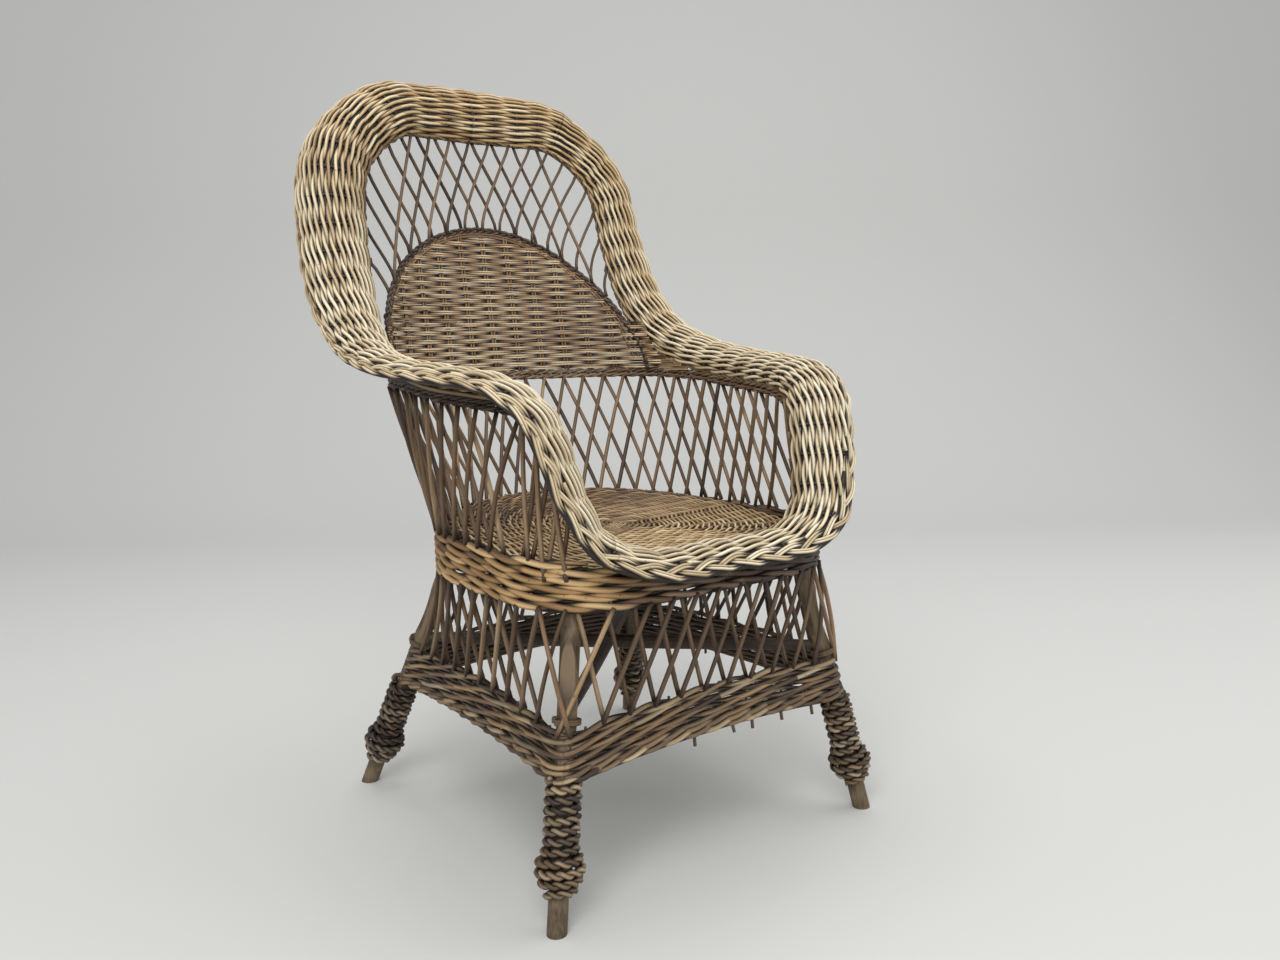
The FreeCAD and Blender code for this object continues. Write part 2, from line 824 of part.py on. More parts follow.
feature("rim_front", rim_length(-2, 2))
for label, first, last in (("arm_front", 2, 6), ("arm", 6, 10), ("back", 10, 14)):
    right = rim_length(first, last)
    feature("rim_" + label + "_right", right)
    feature("rim_" + label + "_left", mirrored(right))
feature("rim_crest", rim_length(14, 2 * last_station - 14))

# Waist wale: under the arm rims and across the back below the half-moon panel
waist_plan_shares = [(1.0, 0.53), (0.89, 0.75), (0.67, 0.9), (0.36, 0.977), (0.0, 1.0)]
waist_first_station = 5.5
waist_last_station = 8.5


def waist_rows():
    """Inner top edge and outward direction, from the right arm's front to the middle of the back."""
    rows = []
    station = waist_first_station
    while station <= waist_last_station:
        edge, outward, away, rise, reach = rim_frame(station)
        flat = Vector(outward.x, outward.y, 0).normalize()
        rows.append((edge - Vector(0, 0, size("clearance")), flat))
        station += 0.5
    plan = [(x * size("back_side"), y * back_reach) for x, y in waist_plan_shares]
    for index, (x, y) in enumerate(plan):
        before = plan[max(index - 1, 0)]
        after = plan[index + 1] if index + 1 < len(plan) else (-plan[index - 1][0], plan[index - 1][1])
        run = Vector(after[0] - before[0], after[1] - before[1], 0)
        rows.append((Vector(x, y, size("back_level")), run.cross(Z_AXIS).normalize()))
    return rows


waist = waist_rows()


def waist_section(row):
    edge, outward = row
    drop = Vector(0, 0, size("waist_height"))
    outer = edge + outward * size("waist_thickness")
    return [edge, outer, outer - drop, edge - drop]


def mirror_row(row):
    edge, outward = row
    return Vector(-edge.x, edge.y, edge.z), Vector(-outward.x, outward.y, outward.z)


arm_rows = len(waist) - len(waist_plan_shares) + 1
waist_right = ruled([waist_section(row) for row in waist[:arm_rows]])
feature("waist_right", waist_right)
feature("waist_left", mirrored(waist_right))
back_rows = waist[arm_rows - 1 :]
back_rows = back_rows + [mirror_row(row) for row in reversed(back_rows[:-1])]
feature("waist_back", ruled([waist_section(row) for row in back_rows]))

# Wall lattice between the seat band and the waist
waist_loop = waist + [mirror_row(row) for row in reversed(waist[:-1])]


def along_waist(share, depth):
    runs = [(b[0] - a[0]).Length for a, b in zip(waist_loop, waist_loop[1:])]
    left = share * sum(runs)
    for index, run in enumerate(runs):
        if left <= run:
            break
        left -= run
    part = left / run
    a, b = waist_loop[index], waist_loop[index + 1]
    edge = a[0] + (b[0] - a[0]) * part
    outward = (a[1] + (b[1] - a[1]) * part).normalize()
    return edge + outward * depth - Vector(0, 0, size("waist_height") + size("slope_clearance"))


wall_start = outline_runs()[0] + outline_runs()[1] * 0.75


def along_band(share, inset):
    total = sum(outline_runs(inset))
    run = wall_start + share * 2 * (total - wall_start)
    if run > total:
        run -= 2 * total
    return outline_at(run, inset, wall_foot)


# Bare ends of the waist, and where the left fan rods take the place of inner wall rods
wall_end_share = 0.01
fan_side_share = 0.97


def wall_rod_list():
    count = int(size("wall_rods"))
    total = sum((b[0] - a[0]).Length for a, b in zip(waist_loop, waist_loop[1:]))
    lean = size("wall_lean") / total
    rods = []
    for layer, way in (("outer", 1), ("inner", -1)):
        inset = layer_start + layer_step * layers[layer]
        depth = size("waist_thickness") - inset
        for index in range(count):
            share = (index + 0.5) / count
            top_share = share + way * lean
            middle_share = (share + top_share) / 2
            beside_fan = layer == "inner" and share > fan_side_share
            if wall_end_share < top_share < 1 - wall_end_share and not beside_fan:
                middle = (along_band(middle_share, inset) + along_waist(middle_share, depth)) * 0.5
                points = [along_band(share, inset), middle, along_waist(top_share, depth)]
                rods.append((share, level_rod(points)))
    return rods


wall_rods = wall_rod_list()


wall_parts = (
    ("right", 0.0, 0.26), ("back_right", 0.26, 0.42), ("back", 0.42, 0.58), ("back_left", 0.58, 0.74), ("left", 0.74, 1.0),
)
for label, first, last in wall_parts:
    feature("wall_rods_" + label, Part.makeCompound([rod for share, rod in wall_rods if first <= share < last]))

# Where the fan rods start on the band and end along the rim
fan_start_shares = (0.012, 0.06)
fan_stations = (2.75, 4.95)


def fan_rods(layer):
    """Short rods from the front end of the upper band to the rim of the arm's front."""
    count = int(size("fan_rods"))
    inset = layer_start + layer_step * layers[layer]
    depth = rod_radius if layer == "inner" else size("rim_wall") - rod_radius
    bow = Vector(0 if layer == "inner" else layer_step, 0, 0)
    rods = []
    for index in range(count):
        part = index / (count - 1)
        start_share = fan_start_shares[0] + (fan_start_shares[1] - fan_start_shares[0]) * part
        low = along_band(start_share, inset) + Vector(0, 0, size("clearance"))
        edge, outward, away, rise, reach = rim_frame(fan_stations[0] + (fan_stations[1] - fan_stations[0]) * part)
        high = edge + outward * depth
        rods.append(free_rod([low, (low + high) * 0.5 + bow, high], Z_AXIS, away))
    return Part.makeCompound(rods)


feature("fan_rods_right", fan_rods("inner"))
feature("fan_rods_left", mirrored(fan_rods("outer")))

# Half-moon back panel, its arched edge and the open lattice above it
back_lean = math.tan(math.radians(size("back_angle")))
arch_steps = 36


def waist_reach(x):
    """Reach of the waist's inner edge, and of the back above it, at a distance from the middle."""
    plan = sorted((sx * size("back_side"), sy * back_reach) for sx, sy in waist_plan_shares)
    for (x0, y0), (x1, y1) in zip(plan, plan[1:]):
        if x0 <= abs(x) <= x1:
            return y0 + (y1 - y0) * (abs(x) - x0) / (x1 - x0)
    return plan[-1][1]


def back_surface(x, level):
    return waist_reach(x) + back_lean * (level - size("back_level"))


panel_base = size("back_level") + size("clearance")
rib_steps = math.floor(2 * size("arch_height") / size("stake_pitch"))
plan_near = []
for step in range(-rib_steps, rib_steps + 1):
    x = step * size("stake_pitch") / 2
    groove = size("panel_rib_height") if step % 2 else 0
    plan_near.append(Vector(x, waist_reach(x) + groove, panel_base))
panel_wall = Vector(0, size("panel_thickness") - size("panel_rib_height"), 0)
plan_far = [point + panel_wall for point in reversed(plan_near)]
strip = doc.addObject("Part::Feature", "PanelStrip")
strip.Shape = Part.Face(flat_wire(plan_near + plan_far))
sheet_of_weave = doc.addObject("Part::Extrusion", "PanelSheet")
sheet_of_weave.Base = strip
sheet_of_weave.DirMode = "Custom"
sheet_of_weave.Dir = Vector(0, back_lean, 1).normalize()
sheet_of_weave.Solid = True
bind(sheet_of_weave, LengthFwd="2 * Sizes.arch_height")
arch_prism = doc.addObject("Part::Prism", "PanelArch")
arch_prism.Polygon = arch_steps
bind(arch_prism, Circumradius="Sizes.arch_height", Height="2 * Sizes.rim_depth")
arch_prism.Placement = FreeCAD.Placement(
    Vector(0, 2 * back_reach, size("back_level")), FreeCAD.Rotation(Z_AXIS, Vector(0, -1, 0))
)
panel = doc.addObject("Part::Common", "back_panel")
panel.Base = sheet_of_weave
panel.Tool = arch_prism
node(panel, "back_panel")


def arch_section(step):
    """Eight-sided section of the braid, flat across the arch."""
    angle = 2 * math.pi * step / arch_steps
    half = size("arch_width") / 2
    radius = size("arch_height") + size("clearance") + half
    out = Vector(math.cos(angle), 0, math.sin(angle))
    here = Vector(0, 0, size("back_level")) + out * radius
    here.z = max(here.z, panel_base)
    here.y = back_surface(here.x, here.z) + size("panel_thickness") / 2
    back = Vector(0, 1, 0)
    return [
        here + back * (half * math.cos(turn * math.pi / 4)) + out * (half * math.sin(turn * math.pi / 4))
        for turn in range(8)
    ]


feature("back_arch", ruled([arch_section(step) for step in range(arch_steps // 2 + 1)]))


# Rim station that stands over each share of the arch
crest_shares = [(0.0, 11.3), (0.115, 12.9), (0.21, 13.6), (0.31, 14.3), (0.4, 15.15), (0.5, 16.0)]


def station_over(share):
    near = min(share, 1 - share)
    for (share_a, station_a), (share_b, station_b) in zip(crest_shares, crest_shares[1:]):
        if near <= share_b:
            break
    station = station_a + (station_b - station_a) * (near - share_a) / (share_b - share_a)
    return station if share <= 0.5 else 2 * last_station - station


def back_lattice(layer):
    """Rods that bow from the arch to the rim, all leaning one way."""
    count = int(size("back_rods"))
    way = 1 if layer else -1
    shift = (0.5 - layer) * layer_step
    half_turn = math.radians(size("back_spread_angle"))
    radius = size("arch_height") + size("arch_width") + size("clearance")

    def low_at(share):
        angle = math.pi / 2 + half_turn * (2 * share - 1)
        x = radius * math.cos(angle)
        level = size("back_level") + radius * math.sin(angle)
        reach = back_surface(x, level) + size("panel_thickness") / 2 + shift
        return Vector(x, reach, level), Vector(math.cos(angle), 0, math.sin(angle))

    def high_at(share):
        edge, outward, away, rise, reach = rim_frame(station_over(share))
        return edge + outward * (size("rim_wall") / 2 + shift), away

    rods = []
    for index in range(count):
        share = (index + 0.5) / count
        top_share = share + way * back_lean_share
        if not 0 < top_share < 1:
            continue
        low, low_normal = low_at(share)
        high, high_normal = high_at(top_share)
        middle_share = (share + top_share) / 2
        middle = (low_at(middle_share)[0] + high_at(middle_share)[0]) * 0.5
        axis = (high - low).normalize()
        if min(abs(axis.dot(high_normal)), abs(axis.dot(low_normal))) > seat_lean_share:
            rods.append(free_rod([low, middle, high], low_normal, high_normal))
    return rods


back_lean_share = 0.085
seat_lean_share = 0.45
feature("back_rods_outer", Part.makeCompound(back_lattice(0)))
feature("back_rods_inner", Part.makeCompound(back_lattice(1)))

doc.recompute()
for item in doc.Objects:
    if "Invalid" in item.State or "Error" in item.State:
        raise RuntimeError("bad object: " + item.Label)
bounds = nodes[0].Shape.BoundBox
for item in nodes[1:]:
    bounds.add(item.Shape.BoundBox)
to_middle = FreeCAD.Placement(Vector(0, -bounds.Center.y, 0), FreeCAD.Rotation())
for item in nodes:
    item.Placement = to_middle.multiply(item.Placement)
doc.recompute()
for item in nodes:
    shape = item.Shape
    if shape.isNull() or not shape.isValid():
        raise RuntimeError("bad shape: " + item.Label)
    if min((solid.Volume for solid in shape.Solids), default=0) <= 0:
        raise RuntimeError("no volume: " + item.Label)
    shape.exportStep("parts/%s.step" % item.Label)
print("moved to the middle by", round(-bounds.Center.y, 3))
print("nodes", len(nodes), "solids", sum(len(item.Shape.Solids) for item in nodes))
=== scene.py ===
import bpy
import math
import numpy as np
from mathutils import Matrix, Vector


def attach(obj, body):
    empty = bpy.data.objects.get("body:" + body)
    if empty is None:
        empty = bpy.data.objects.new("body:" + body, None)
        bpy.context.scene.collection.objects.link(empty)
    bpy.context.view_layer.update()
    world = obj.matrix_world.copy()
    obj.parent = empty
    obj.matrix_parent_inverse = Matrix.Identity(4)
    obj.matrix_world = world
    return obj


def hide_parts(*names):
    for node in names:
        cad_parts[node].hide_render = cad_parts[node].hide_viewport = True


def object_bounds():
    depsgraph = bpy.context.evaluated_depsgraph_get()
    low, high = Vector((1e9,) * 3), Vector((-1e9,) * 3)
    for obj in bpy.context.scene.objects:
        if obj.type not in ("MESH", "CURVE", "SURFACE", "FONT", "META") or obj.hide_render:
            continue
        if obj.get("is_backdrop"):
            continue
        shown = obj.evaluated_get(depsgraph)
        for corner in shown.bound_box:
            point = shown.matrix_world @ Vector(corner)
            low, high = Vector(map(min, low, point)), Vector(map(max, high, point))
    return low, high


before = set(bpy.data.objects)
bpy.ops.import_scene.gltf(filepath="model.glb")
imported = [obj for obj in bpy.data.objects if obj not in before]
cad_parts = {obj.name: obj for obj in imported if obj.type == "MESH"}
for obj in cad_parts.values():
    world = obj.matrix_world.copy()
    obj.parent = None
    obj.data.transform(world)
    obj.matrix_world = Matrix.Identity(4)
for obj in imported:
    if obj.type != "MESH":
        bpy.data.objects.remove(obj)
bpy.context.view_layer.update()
bpy.ops.object.select_all(action="DESELECT")
chance = np.random.default_rng(11)
print("frame loaded:", len(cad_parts), "solids groups")

# Chair lines in mm, before the chair is centred on the floor
chair = {
    "shift": -48.948, "legWidth": 23.0,
    "frontFoot": (250, -262), "rearFoot": (242, 262), "frontTop": (181, -207), "rearTop": (152, 112),
    "seatAngle": 4.4, "seatFrontLevel": 391.4, "seatFrontLine": 225, "hoopDrop": 30,
    "seatSide": 237, "seatFront": 265, "seatRear": 30, "seatCorner": 120,
    "bandLevel": 347, "bandHeight": 36, "upperHeight": 22, "upperEnd": 196,
    "backLevel": 600, "backReach": 258, "backSide": 226, "backAngle": 10, "archRadius": 212,
    "baseLevel": 212, "baseRise": 12, "baseFront": (230, -250), "baseRear": (209, 197), "collarLevel": 218.6, "collarHeight": 9.0,
}
slope = math.tan(math.radians(chair["seatAngle"]))
seatNormal = np.array([0, -math.sin(math.radians(chair["seatAngle"])), math.cos(math.radians(chair["seatAngle"]))])
seatBase = np.array([0, 0, chair["seatFrontLevel"] + slope * chair["seatFrontLine"]])
wallFoot = chair["bandLevel"] + chair["bandHeight"] + chair["upperHeight"]
up = np.array([0.0, 0.0, 1.0])
frontWay = np.array([0.0, -1.0, 0.0])


def unit(vectors):
    return vectors / np.maximum(np.linalg.norm(vectors, axis=-1, keepdims=True), 1e-9)


def runAlong(points):
    return np.concatenate([[0], np.cumsum(np.linalg.norm(np.diff(points, axis=0), axis=1))])


# The same line with even steps, and whatever goes with its points
def evenly(step, points, *others):
    run = runAlong(points)
    count = max(3, int(round(run[-1] / step)) + 1)
    at = np.linspace(0, run[-1], count)
    found = [np.stack([np.interp(at, run, a[:, k]) for k in range(a.shape[1])], 1) for a in (points, *others)]
    return found if others else found[0]


def smoothNoise(count, reach):
    raw = chance.normal(size=count + 6 * reach)
    kernel = np.exp(-0.5 * (np.arange(-3 * reach, 3 * reach + 1) / reach) ** 2)
    return np.convolve(raw, kernel / np.sqrt((kernel ** 2).sum()), "valid")[:count]


# A strand's lightness changes where one willow rod ends and the next is laid in
def rodTones(count, step, middle=0.5, spread=0.2, length=420):
    tones = np.zeros(count)
    at = -int(chance.uniform(0, length) / step)
    while at < count:
        reach = int(chance.uniform(0.6, 1.4) * length / step) + 1
        tones[max(at, 0):at + reach] = middle + spread * chance.normal()
        at += reach
    return tones + 0.04 * smoothNoise(count, 4)


# One strand of a weave: a tube on a line of points, with its lightness, warmth, and dirt mixed with painted shade;
# flank is painted shade along its two sides, under is painted shade on the side turned away from out
def addStrand(bundle, path, width, tone=0.5, gold=0.0, soil=0.0, out=None, sides=6, flat=1.0,
              flank=0.95, under=0.0, tangent=None):
    count = len(path)
    if tangent is None:
        tangent = unit(np.gradient(path, axis=0))
    if out is None:
        guide = up if abs(unit(path[-1] - path[0]) @ up) < 0.8 else np.array([0.31, 0.95, 0.0])
        out = np.tile(guide, (count, 1))
    side = unit(np.cross(tangent, out))
    rise = np.cross(side, tangent)
    radius = np.full(count, 1.0) * width / 2
    angle = np.arange(sides) * 2 * math.pi / sides + math.pi / 2
    ring = side[:, None] * np.cos(angle)[None, :, None] + rise[:, None] * (flat * np.sin(angle))[None, :, None]
    bundle["points"].append((path[:, None] + ring * radius[:, None, None]).reshape(-1, 3))
    low = 0.5 - 0.5 * np.sin(angle)
    # Painted shade: soil darkens where a strand dips behind others, flank darkens both sides, under darkens the side
    # away from out
    dirt = np.clip(np.full(count, 1.0) * soil, 0, 1)[:, None] * (1 - 0.7 * low)
    dirt = dirt + under * low ** 1.4 + flank * np.cos(angle) ** 2
    bundle["soil"].append(dirt.ravel())
    bundle["tone"].append(np.repeat(np.full(count, 1.0) * tone, sides))
    bundle["gold"].append(np.repeat(np.full(count, 1.0) * gold, sides))
    bundle["run"].append(runAlong(path) + chance.uniform(0, 5000))
    bundle["shape"].append((count, sides, float(np.mean(radius)) * 2 * math.pi))


def newBundle():
    return {"points": [], "soil": [], "tone": [], "gold": [], "run": [], "shape": []}


# One strand cut where the part of the chair that it belongs to changes
def layStrand(bundles, labels, path, **look):
    look["tangent"] = unit(np.gradient(path, axis=0))
    edges = list(np.flatnonzero(labels[1:] != labels[:-1]) + 1)
    for first, last in zip([0] + edges, edges + [len(labels)]):
        stop = min(last + 1, len(labels))
        if stop - first < 3:
            continue
        part = {key: value[first:stop] if isinstance(value, np.ndarray) and len(value) == len(labels) else value
                for key, value in look.items()}
        addStrand(bundles[labels[first]], path[first:stop], **part)


# Turns a bundle of strands into one mesh with its fibre map and its attributes
def makePiece(name, bundle, material, nodes):
    corners, maps, sizes, base = [], [], [], 0
    for (count, sides, girth), run in zip(bundle["shape"], bundle["run"]):
        here = np.arange(count - 1)[:, None] * sides
        k = np.arange(sides)[None]
        after = (k + 1) % sides
        quads = np.stack([here + k, here + sides + k, here + sides + after, here + after], -1).reshape(-1, 4)
        corners.append((quads + base).ravel())
        near, far = run[:-1, None] + 0 * k, run[1:, None] + 0 * k
        low, high = girth * k / sides + 0 * near, girth * (k + 1) / sides + 0 * near
        maps.append(np.stack([near, low, far, low, far, high, near, high], -1).reshape(-1, 2))
        sizes.append(np.full(len(quads), 4))
        end = (count - 1) * sides
        for ring, at in ((np.arange(sides), run[0]), (end + np.arange(sides)[::-1], run[-1])):
            corners.append(ring + base)
            maps.append(np.stack([np.full(sides, at), np.arange(sides) * girth / sides], -1))
            sizes.append([sides])
        base += count * sides
    corners, sizes = np.concatenate(corners), np.concatenate(sizes)
    points = np.concatenate(bundle["points"])
    points[:, 1] += chair["shift"]
    mesh = bpy.data.meshes.new(name)
    mesh.vertices.add(len(points))
    mesh.vertices.foreach_set("co", (points / 1000).astype(np.float32).ravel())
    mesh.loops.add(len(corners))
    mesh.loops.foreach_set("vertex_index", corners.astype(np.int32))
    mesh.polygons.add(len(sizes))
    mesh.polygons.foreach_set("loop_start", np.concatenate([[0], np.cumsum(sizes)[:-1]]).astype(np.int32))
    mesh.update(calc_edges=True)
    fibre = mesh.uv_layers.new(name="fibre")
    fibre.data.foreach_set("uv", (np.concatenate(maps) / 1000).astype(np.float32).ravel())
    for key in ("tone", "gold", "soil"):
        layer = mesh.attributes.new(key, "FLOAT", "POINT")
        layer.data.foreach_set("value", np.concatenate(bundle[key]).astype(np.float32))
    mesh.shade_smooth()
    mesh.validate()
    piece = bpy.data.objects.new(name, mesh)
    bpy.context.scene.collection.objects.link(piece)
    piece.data.materials.append(material)
    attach(piece, "root")
    if nodes:
        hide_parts(*nodes)
    print("piece", name, "faces", len(sizes))


# Painted shade, with some dirt, where a strand dips behind its neighbours
def hidden(level):
    return np.clip((0.2 - level) / 1.2, 0, 1) ** 1.2


# Strands that turn round each other along a line, as in a wale: out over two stakes, in behind one
def twine(line, side, out, period, count, lift, sway, offset=0.0, turn=1.0, uneven=0.0):
    run = runAlong(line)
    found = []
    for strand in range(count):
        phase = 2 * math.pi * (run / period + strand / count + offset)
        place = np.arange(len(line))
        fade = uneven * np.clip(np.minimum(place, place[::-1]) / 10, 0, 1)
        phase = phase + 0.3 * fade * smoothNoise(len(line), 12)
        wave = np.cos(phase)
        level = np.where(wave > -0.5, (wave + 0.5) / 1.5, (wave + 0.5) / 0.5) if count > 2 else wave
        sideways = turn * sway * np.sin(phase) + 0.35 * fade * smoothNoise(len(line), 9)
        path = line + out * (lift * level)[:, None] + side * sideways[:, None]
        found.append((path, hidden(level)))
    return found


# Flat plait of three strands, each of several rods side by side
def plait(line, side, out, period, spread, lift, rods, width):
    run = runAlong(line)
    found = []
    for strand in range(3):
        phase = 2 * math.pi * (run / period + strand / 3)
        level = np.sin(2 * phase)
        for rod in range(rods):
            lane = (rod - (rods - 1) / 2) * width * 0.92
            path = line + side * (spread * np.sin(phase) + lane)[:, None] + out * (lift * level)[:, None]
            found.append((path, hidden(level)))
    return found


def linear(code):
    parts = [int(code[at:at + 2], 16) / 255 for at in (1, 3, 5)]
    return [c / 12.92 if c <= 0.04045 else ((c + 0.055) / 1.055) ** 2.4 for c in parts] + [1.0]


# Adds a node with its settings and links; stops are a colour ramp's places and colours
def addNode(tree, kind, settings=None, links=None):
    made = tree.nodes.new("ShaderNode" + kind)
    for key, value in (settings or {}).items():
        if key == "stops":
            ramp = made.color_ramp
            while len(ramp.elements) < len(value):
                ramp.elements.new(0.5)
            for element, (place, colour) in zip(ramp.elements, value):
                element.position = place
                element.color = linear(colour) if isinstance(colour, str) else [colour] * 3 + [1.0]
        elif isinstance(key, str) and hasattr(made, key):
            setattr(made, key, value)
        else:
            made.inputs[key].default_value = value
    for key, source in (links or {}).items():
        if isinstance(source, tuple):
            source = source[0].outputs[source[1]]
        elif isinstance(source, bpy.types.Node):
            source = source.outputs[0]
        tree.links.new(source, made.inputs[key])
    return made


def newMaterial(name):
    material = bpy.data.materials.new(name)
    material.use_nodes = True
    material.node_tree.nodes.clear()
    return material, material.node_tree


# The dirt colour also serves as painted shade in recesses and along strand sides
wearAndShade = {"dirt": "#1c120b", "dirtShare": 0.93, "speck": "#2a1c11", "smooth": 0.4, "dry": 0.7}

# Aged willow: round peeled rods, dry and slightly glossy, with fibres along each rod, and dirt with painted shade where
# they pass under and along their sides
def willow(name, pale, gold):
    material, tree = newMaterial(name)
    tone = addNode(tree, "Attribute", {"attribute_name": "tone"})
    warm = addNode(tree, "Attribute", {"attribute_name": "gold"})
    soil = addNode(tree, "Attribute", {"attribute_name": "soil"})
    fibre = addNode(tree, "UVMap", {"uv_map": "fibre"})
    place = addNode(tree, "TexCoord")
    long = addNode(tree, "Mapping", {"Scale": (22, 800, 1)}, {"Vector": fibre})  # streaks 45 mm long, 1.2 mm wide
    streaks = addNode(tree, "TexNoise", {"Scale": 1.0, "Detail": 3.0, "Roughness": 0.6}, {"Vector": long})
    bands = addNode(tree, "Mapping", {"Scale": (14, 40, 1)}, {"Vector": fibre})  # patches 70 mm long on a rod
    patches = addNode(tree, "TexNoise", {"Scale": 1.0, "Detail": 2.0}, {"Vector": bands})
    blotches = addNode(tree, "TexNoise", {"Scale": 8.0, "Detail": 2.0}, {"Vector": (place, "Object")})  # 120 mm wide
    first = addNode(tree, "Math", {"operation": "MULTIPLY_ADD", 1: 0.5, 2: -0.6}, {0: streaks})
    second = addNode(tree, "Math", {"operation": "MULTIPLY_ADD", 1: 0.35}, {0: patches, 2: first})
    third = addNode(tree, "Math", {"operation": "MULTIPLY_ADD", 1: 0.35}, {0: blotches, 2: second})
    level = addNode(tree, "Math", {"operation": "ADD"}, {0: third, 1: (tone, "Fac")})
    places = (0.1, 0.36, 0.62, 0.92)
    paleRamp = addNode(tree, "ValToRGB", {"stops": list(zip(places, pale))}, {"Fac": level})
    goldRamp = addNode(tree, "ValToRGB", {"stops": list(zip(places, gold))}, {"Fac": level})
    clean = addNode(tree, "Mix", {"data_type": "RGBA"}, {0: (warm, "Fac"), 6: paleRamp, 7: goldRamp})
    # Painted shade and dirt: the soil attribute mixes the strand towards the dark colour
    share = addNode(tree, "Math", {"operation": "MULTIPLY", 1: wearAndShade["dirtShare"], "use_clamp": True}, {0: (soil, "Fac")})
    soiledAndShaded = addNode(tree, "Mix", {"data_type": "RGBA", 7: linear(wearAndShade["dirt"])}, {0: share, 6: (clean, 2)})
    specks = addNode(tree, "TexNoise", {"Scale": 200.0, "Detail": 1.0}, {"Vector": (place, "Object")})  # 5 mm specks
    spots = addNode(tree, "ValToRGB", {"stops": [(0.69, 0.0), (0.77, 0.5)]}, {"Fac": specks})
    spotted = addNode(tree, "Mix", {"data_type": "RGBA", 7: linear(wearAndShade["speck"])}, {0: spots, 6: (soiledAndShaded, 2)})
    gloss = addNode(tree, "MapRange", {"To Min": wearAndShade["smooth"], "To Max": wearAndShade["dry"]}, {"Value": streaks})
    bump = addNode(tree, "Bump", {"Strength": 0.4, "Distance": 0.0005}, {"Height": level})
    shader = addNode(tree, "BsdfPrincipled", {"IOR": 1.48}, {"Base Color": (spotted, 2), "Roughness": gloss, "Normal": bump})
    addNode(tree, "OutputMaterial", None, {"Surface": shader})
    return material


# Aged round wood: bark shaved off, grain along the bar, greyed and scuffed
def plainWood(name, colours, along, facet=None):
    material, tree = newMaterial(name)
    place = addNode(tree, "TexCoord")
    grainScale = [420.0, 420.0, 420.0]  # grain lines 2.4 mm apart
    grainScale[along] = 22.0
    grain = addNode(tree, "Mapping", {"Scale": grainScale}, {"Vector": (place, "Object")})
    lines = addNode(tree, "TexNoise", {"Scale": 1.0, "Detail": 5.0, "Roughness": 0.7}, {"Vector": grain})
    patches = addNode(tree, "TexNoise", {"Scale": 24.0, "Detail": 3.0}, {"Vector": (place, "Object")})
    first = addNode(tree, "Math", {"operation": "MULTIPLY_ADD", 1: 0.8, 2: -0.35}, {0: lines})
    level = addNode(tree, "Math", {"operation": "ADD"}, {0: first, 1: patches})
    ramp = addNode(tree, "ValToRGB", {"stops": list(zip((0.2, 0.42, 0.6, 0.85), colours))}, {"Fac": level})
    if facet:  # the lens shaved off towards the corner is paler than the round of the bar
        facing = addNode(tree, "VectorMath", {"operation": "ABSOLUTE"}, {0: (addNode(tree, "NewGeometry"), "Normal")})
        diagonal = addNode(tree, "VectorMath", {"operation": "DOT_PRODUCT", 1: (0.707, 0.707, 0)}, {0: facing})
        turned = addNode(tree, "MapRange", {"From Min": 0.93, "From Max": 0.975}, {"Value": (diagonal, "Value")})
        height = addNode(tree, "SeparateXYZ", None, {0: (place, "Object")})
        fromMiddle = addNode(tree, "Math", {"operation": "SUBTRACT", 1: 0.27}, {0: (height, "Z")})  # 86 mm long about z 270 mm
        reach = addNode(tree, "Math", {"operation": "ABSOLUTE"}, {0: fromMiddle})
        near = addNode(tree, "MapRange", {"From Min": 0.043, "From Max": 0.036}, {"Value": reach})
        share = addNode(tree, "Math", {"operation": "MULTIPLY"}, {0: turned, 1: near})
        ramp = addNode(tree, "Mix", {"data_type": "RGBA", 7: linear(facet)}, {0: share, 6: ramp})
        ramp = (ramp, 2)
    gloss = addNode(tree, "MapRange", {"To Min": 0.5, "To Max": 0.8}, {"Value": patches})
    bump = addNode(tree, "Bump", {"Strength": 0.5, "Distance": 0.0007}, {"Height": lines})
    shader = addNode(tree, "BsdfPrincipled", {"IOR": 1.5}, {"Base Color": ramp, "Roughness": gloss, "Normal": bump})
    addNode(tree, "OutputMaterial", None, {"Surface": shader})
    return material


finishes = {
    "rim": willow("aged peeled willow, rolled rim",
        ("#66543c", "#a28d69", "#d0bc97", "#f2e5c6"), ("#6a4b29", "#987445", "#bf9c68", "#e2ca9e")),
    "panel": willow("aged peeled willow, back panel",
        ("#4d331f", "#7f5f40", "#ab8a62", "#e0c9a3"), ("#4d331f", "#7f5f40", "#ab8a62", "#e0c9a3")),
    "rod": willow("aged brown willow, lattice rods",
        ("#2b1e13", "#523f2c", "#786148", "#a88f6e"), ("#3d2a19", "#6c5135", "#947350", "#c0a277")),
    "band": willow("aged golden willow, seat band",
        ("#32241a", "#574433", "#7b6650", "#ab977c"), ("#553a20", "#8c693d", "#b48d59", "#dcbd8b")),
    "seat": willow("aged peeled willow, seat",
        ("#6e5030", "#a38356", "#cbac7c", "#eed9b0"), ("#3d2917", "#6f5235", "#987650", "#c6a67b")),
    "base": willow("greyed willow, base border",
        ("#35281d", "#5c4b3a", "#857359", "#c0b194"), ("#3c2a18", "#6c5237", "#98794f", "#cbb083")),
    "rope": willow("dark twisted cane, leg windings",
        ("#271c13", "#4a3c2e", "#6f604d", "#a4947c"), ("#3c2a17", "#6a5133", "#94774f", "#c0a477")),
    "dark": willow("dark stained cane, braids and wales",
        ("#1d130d", "#3a2c22", "#574538", "#86715e"), ("#3a2819", "#6b5138", "#937655", "#c0a580")),
    "leg": plainWood("aged round wood, legs", ("#261c12", "#473a29", "#64543e", "#8a795d"), 2, "#74624a"),
    "rail": plainWood("aged shaved wood, rails", ("#1d140e", "#31261d", "#46382c", "#625242"), 0),
    "hoop": plainWood("bent wood, seat hoop", ("#3a2c1f", "#594734", "#745f48", "#8f7a60"), 0),
}
print("materials made")


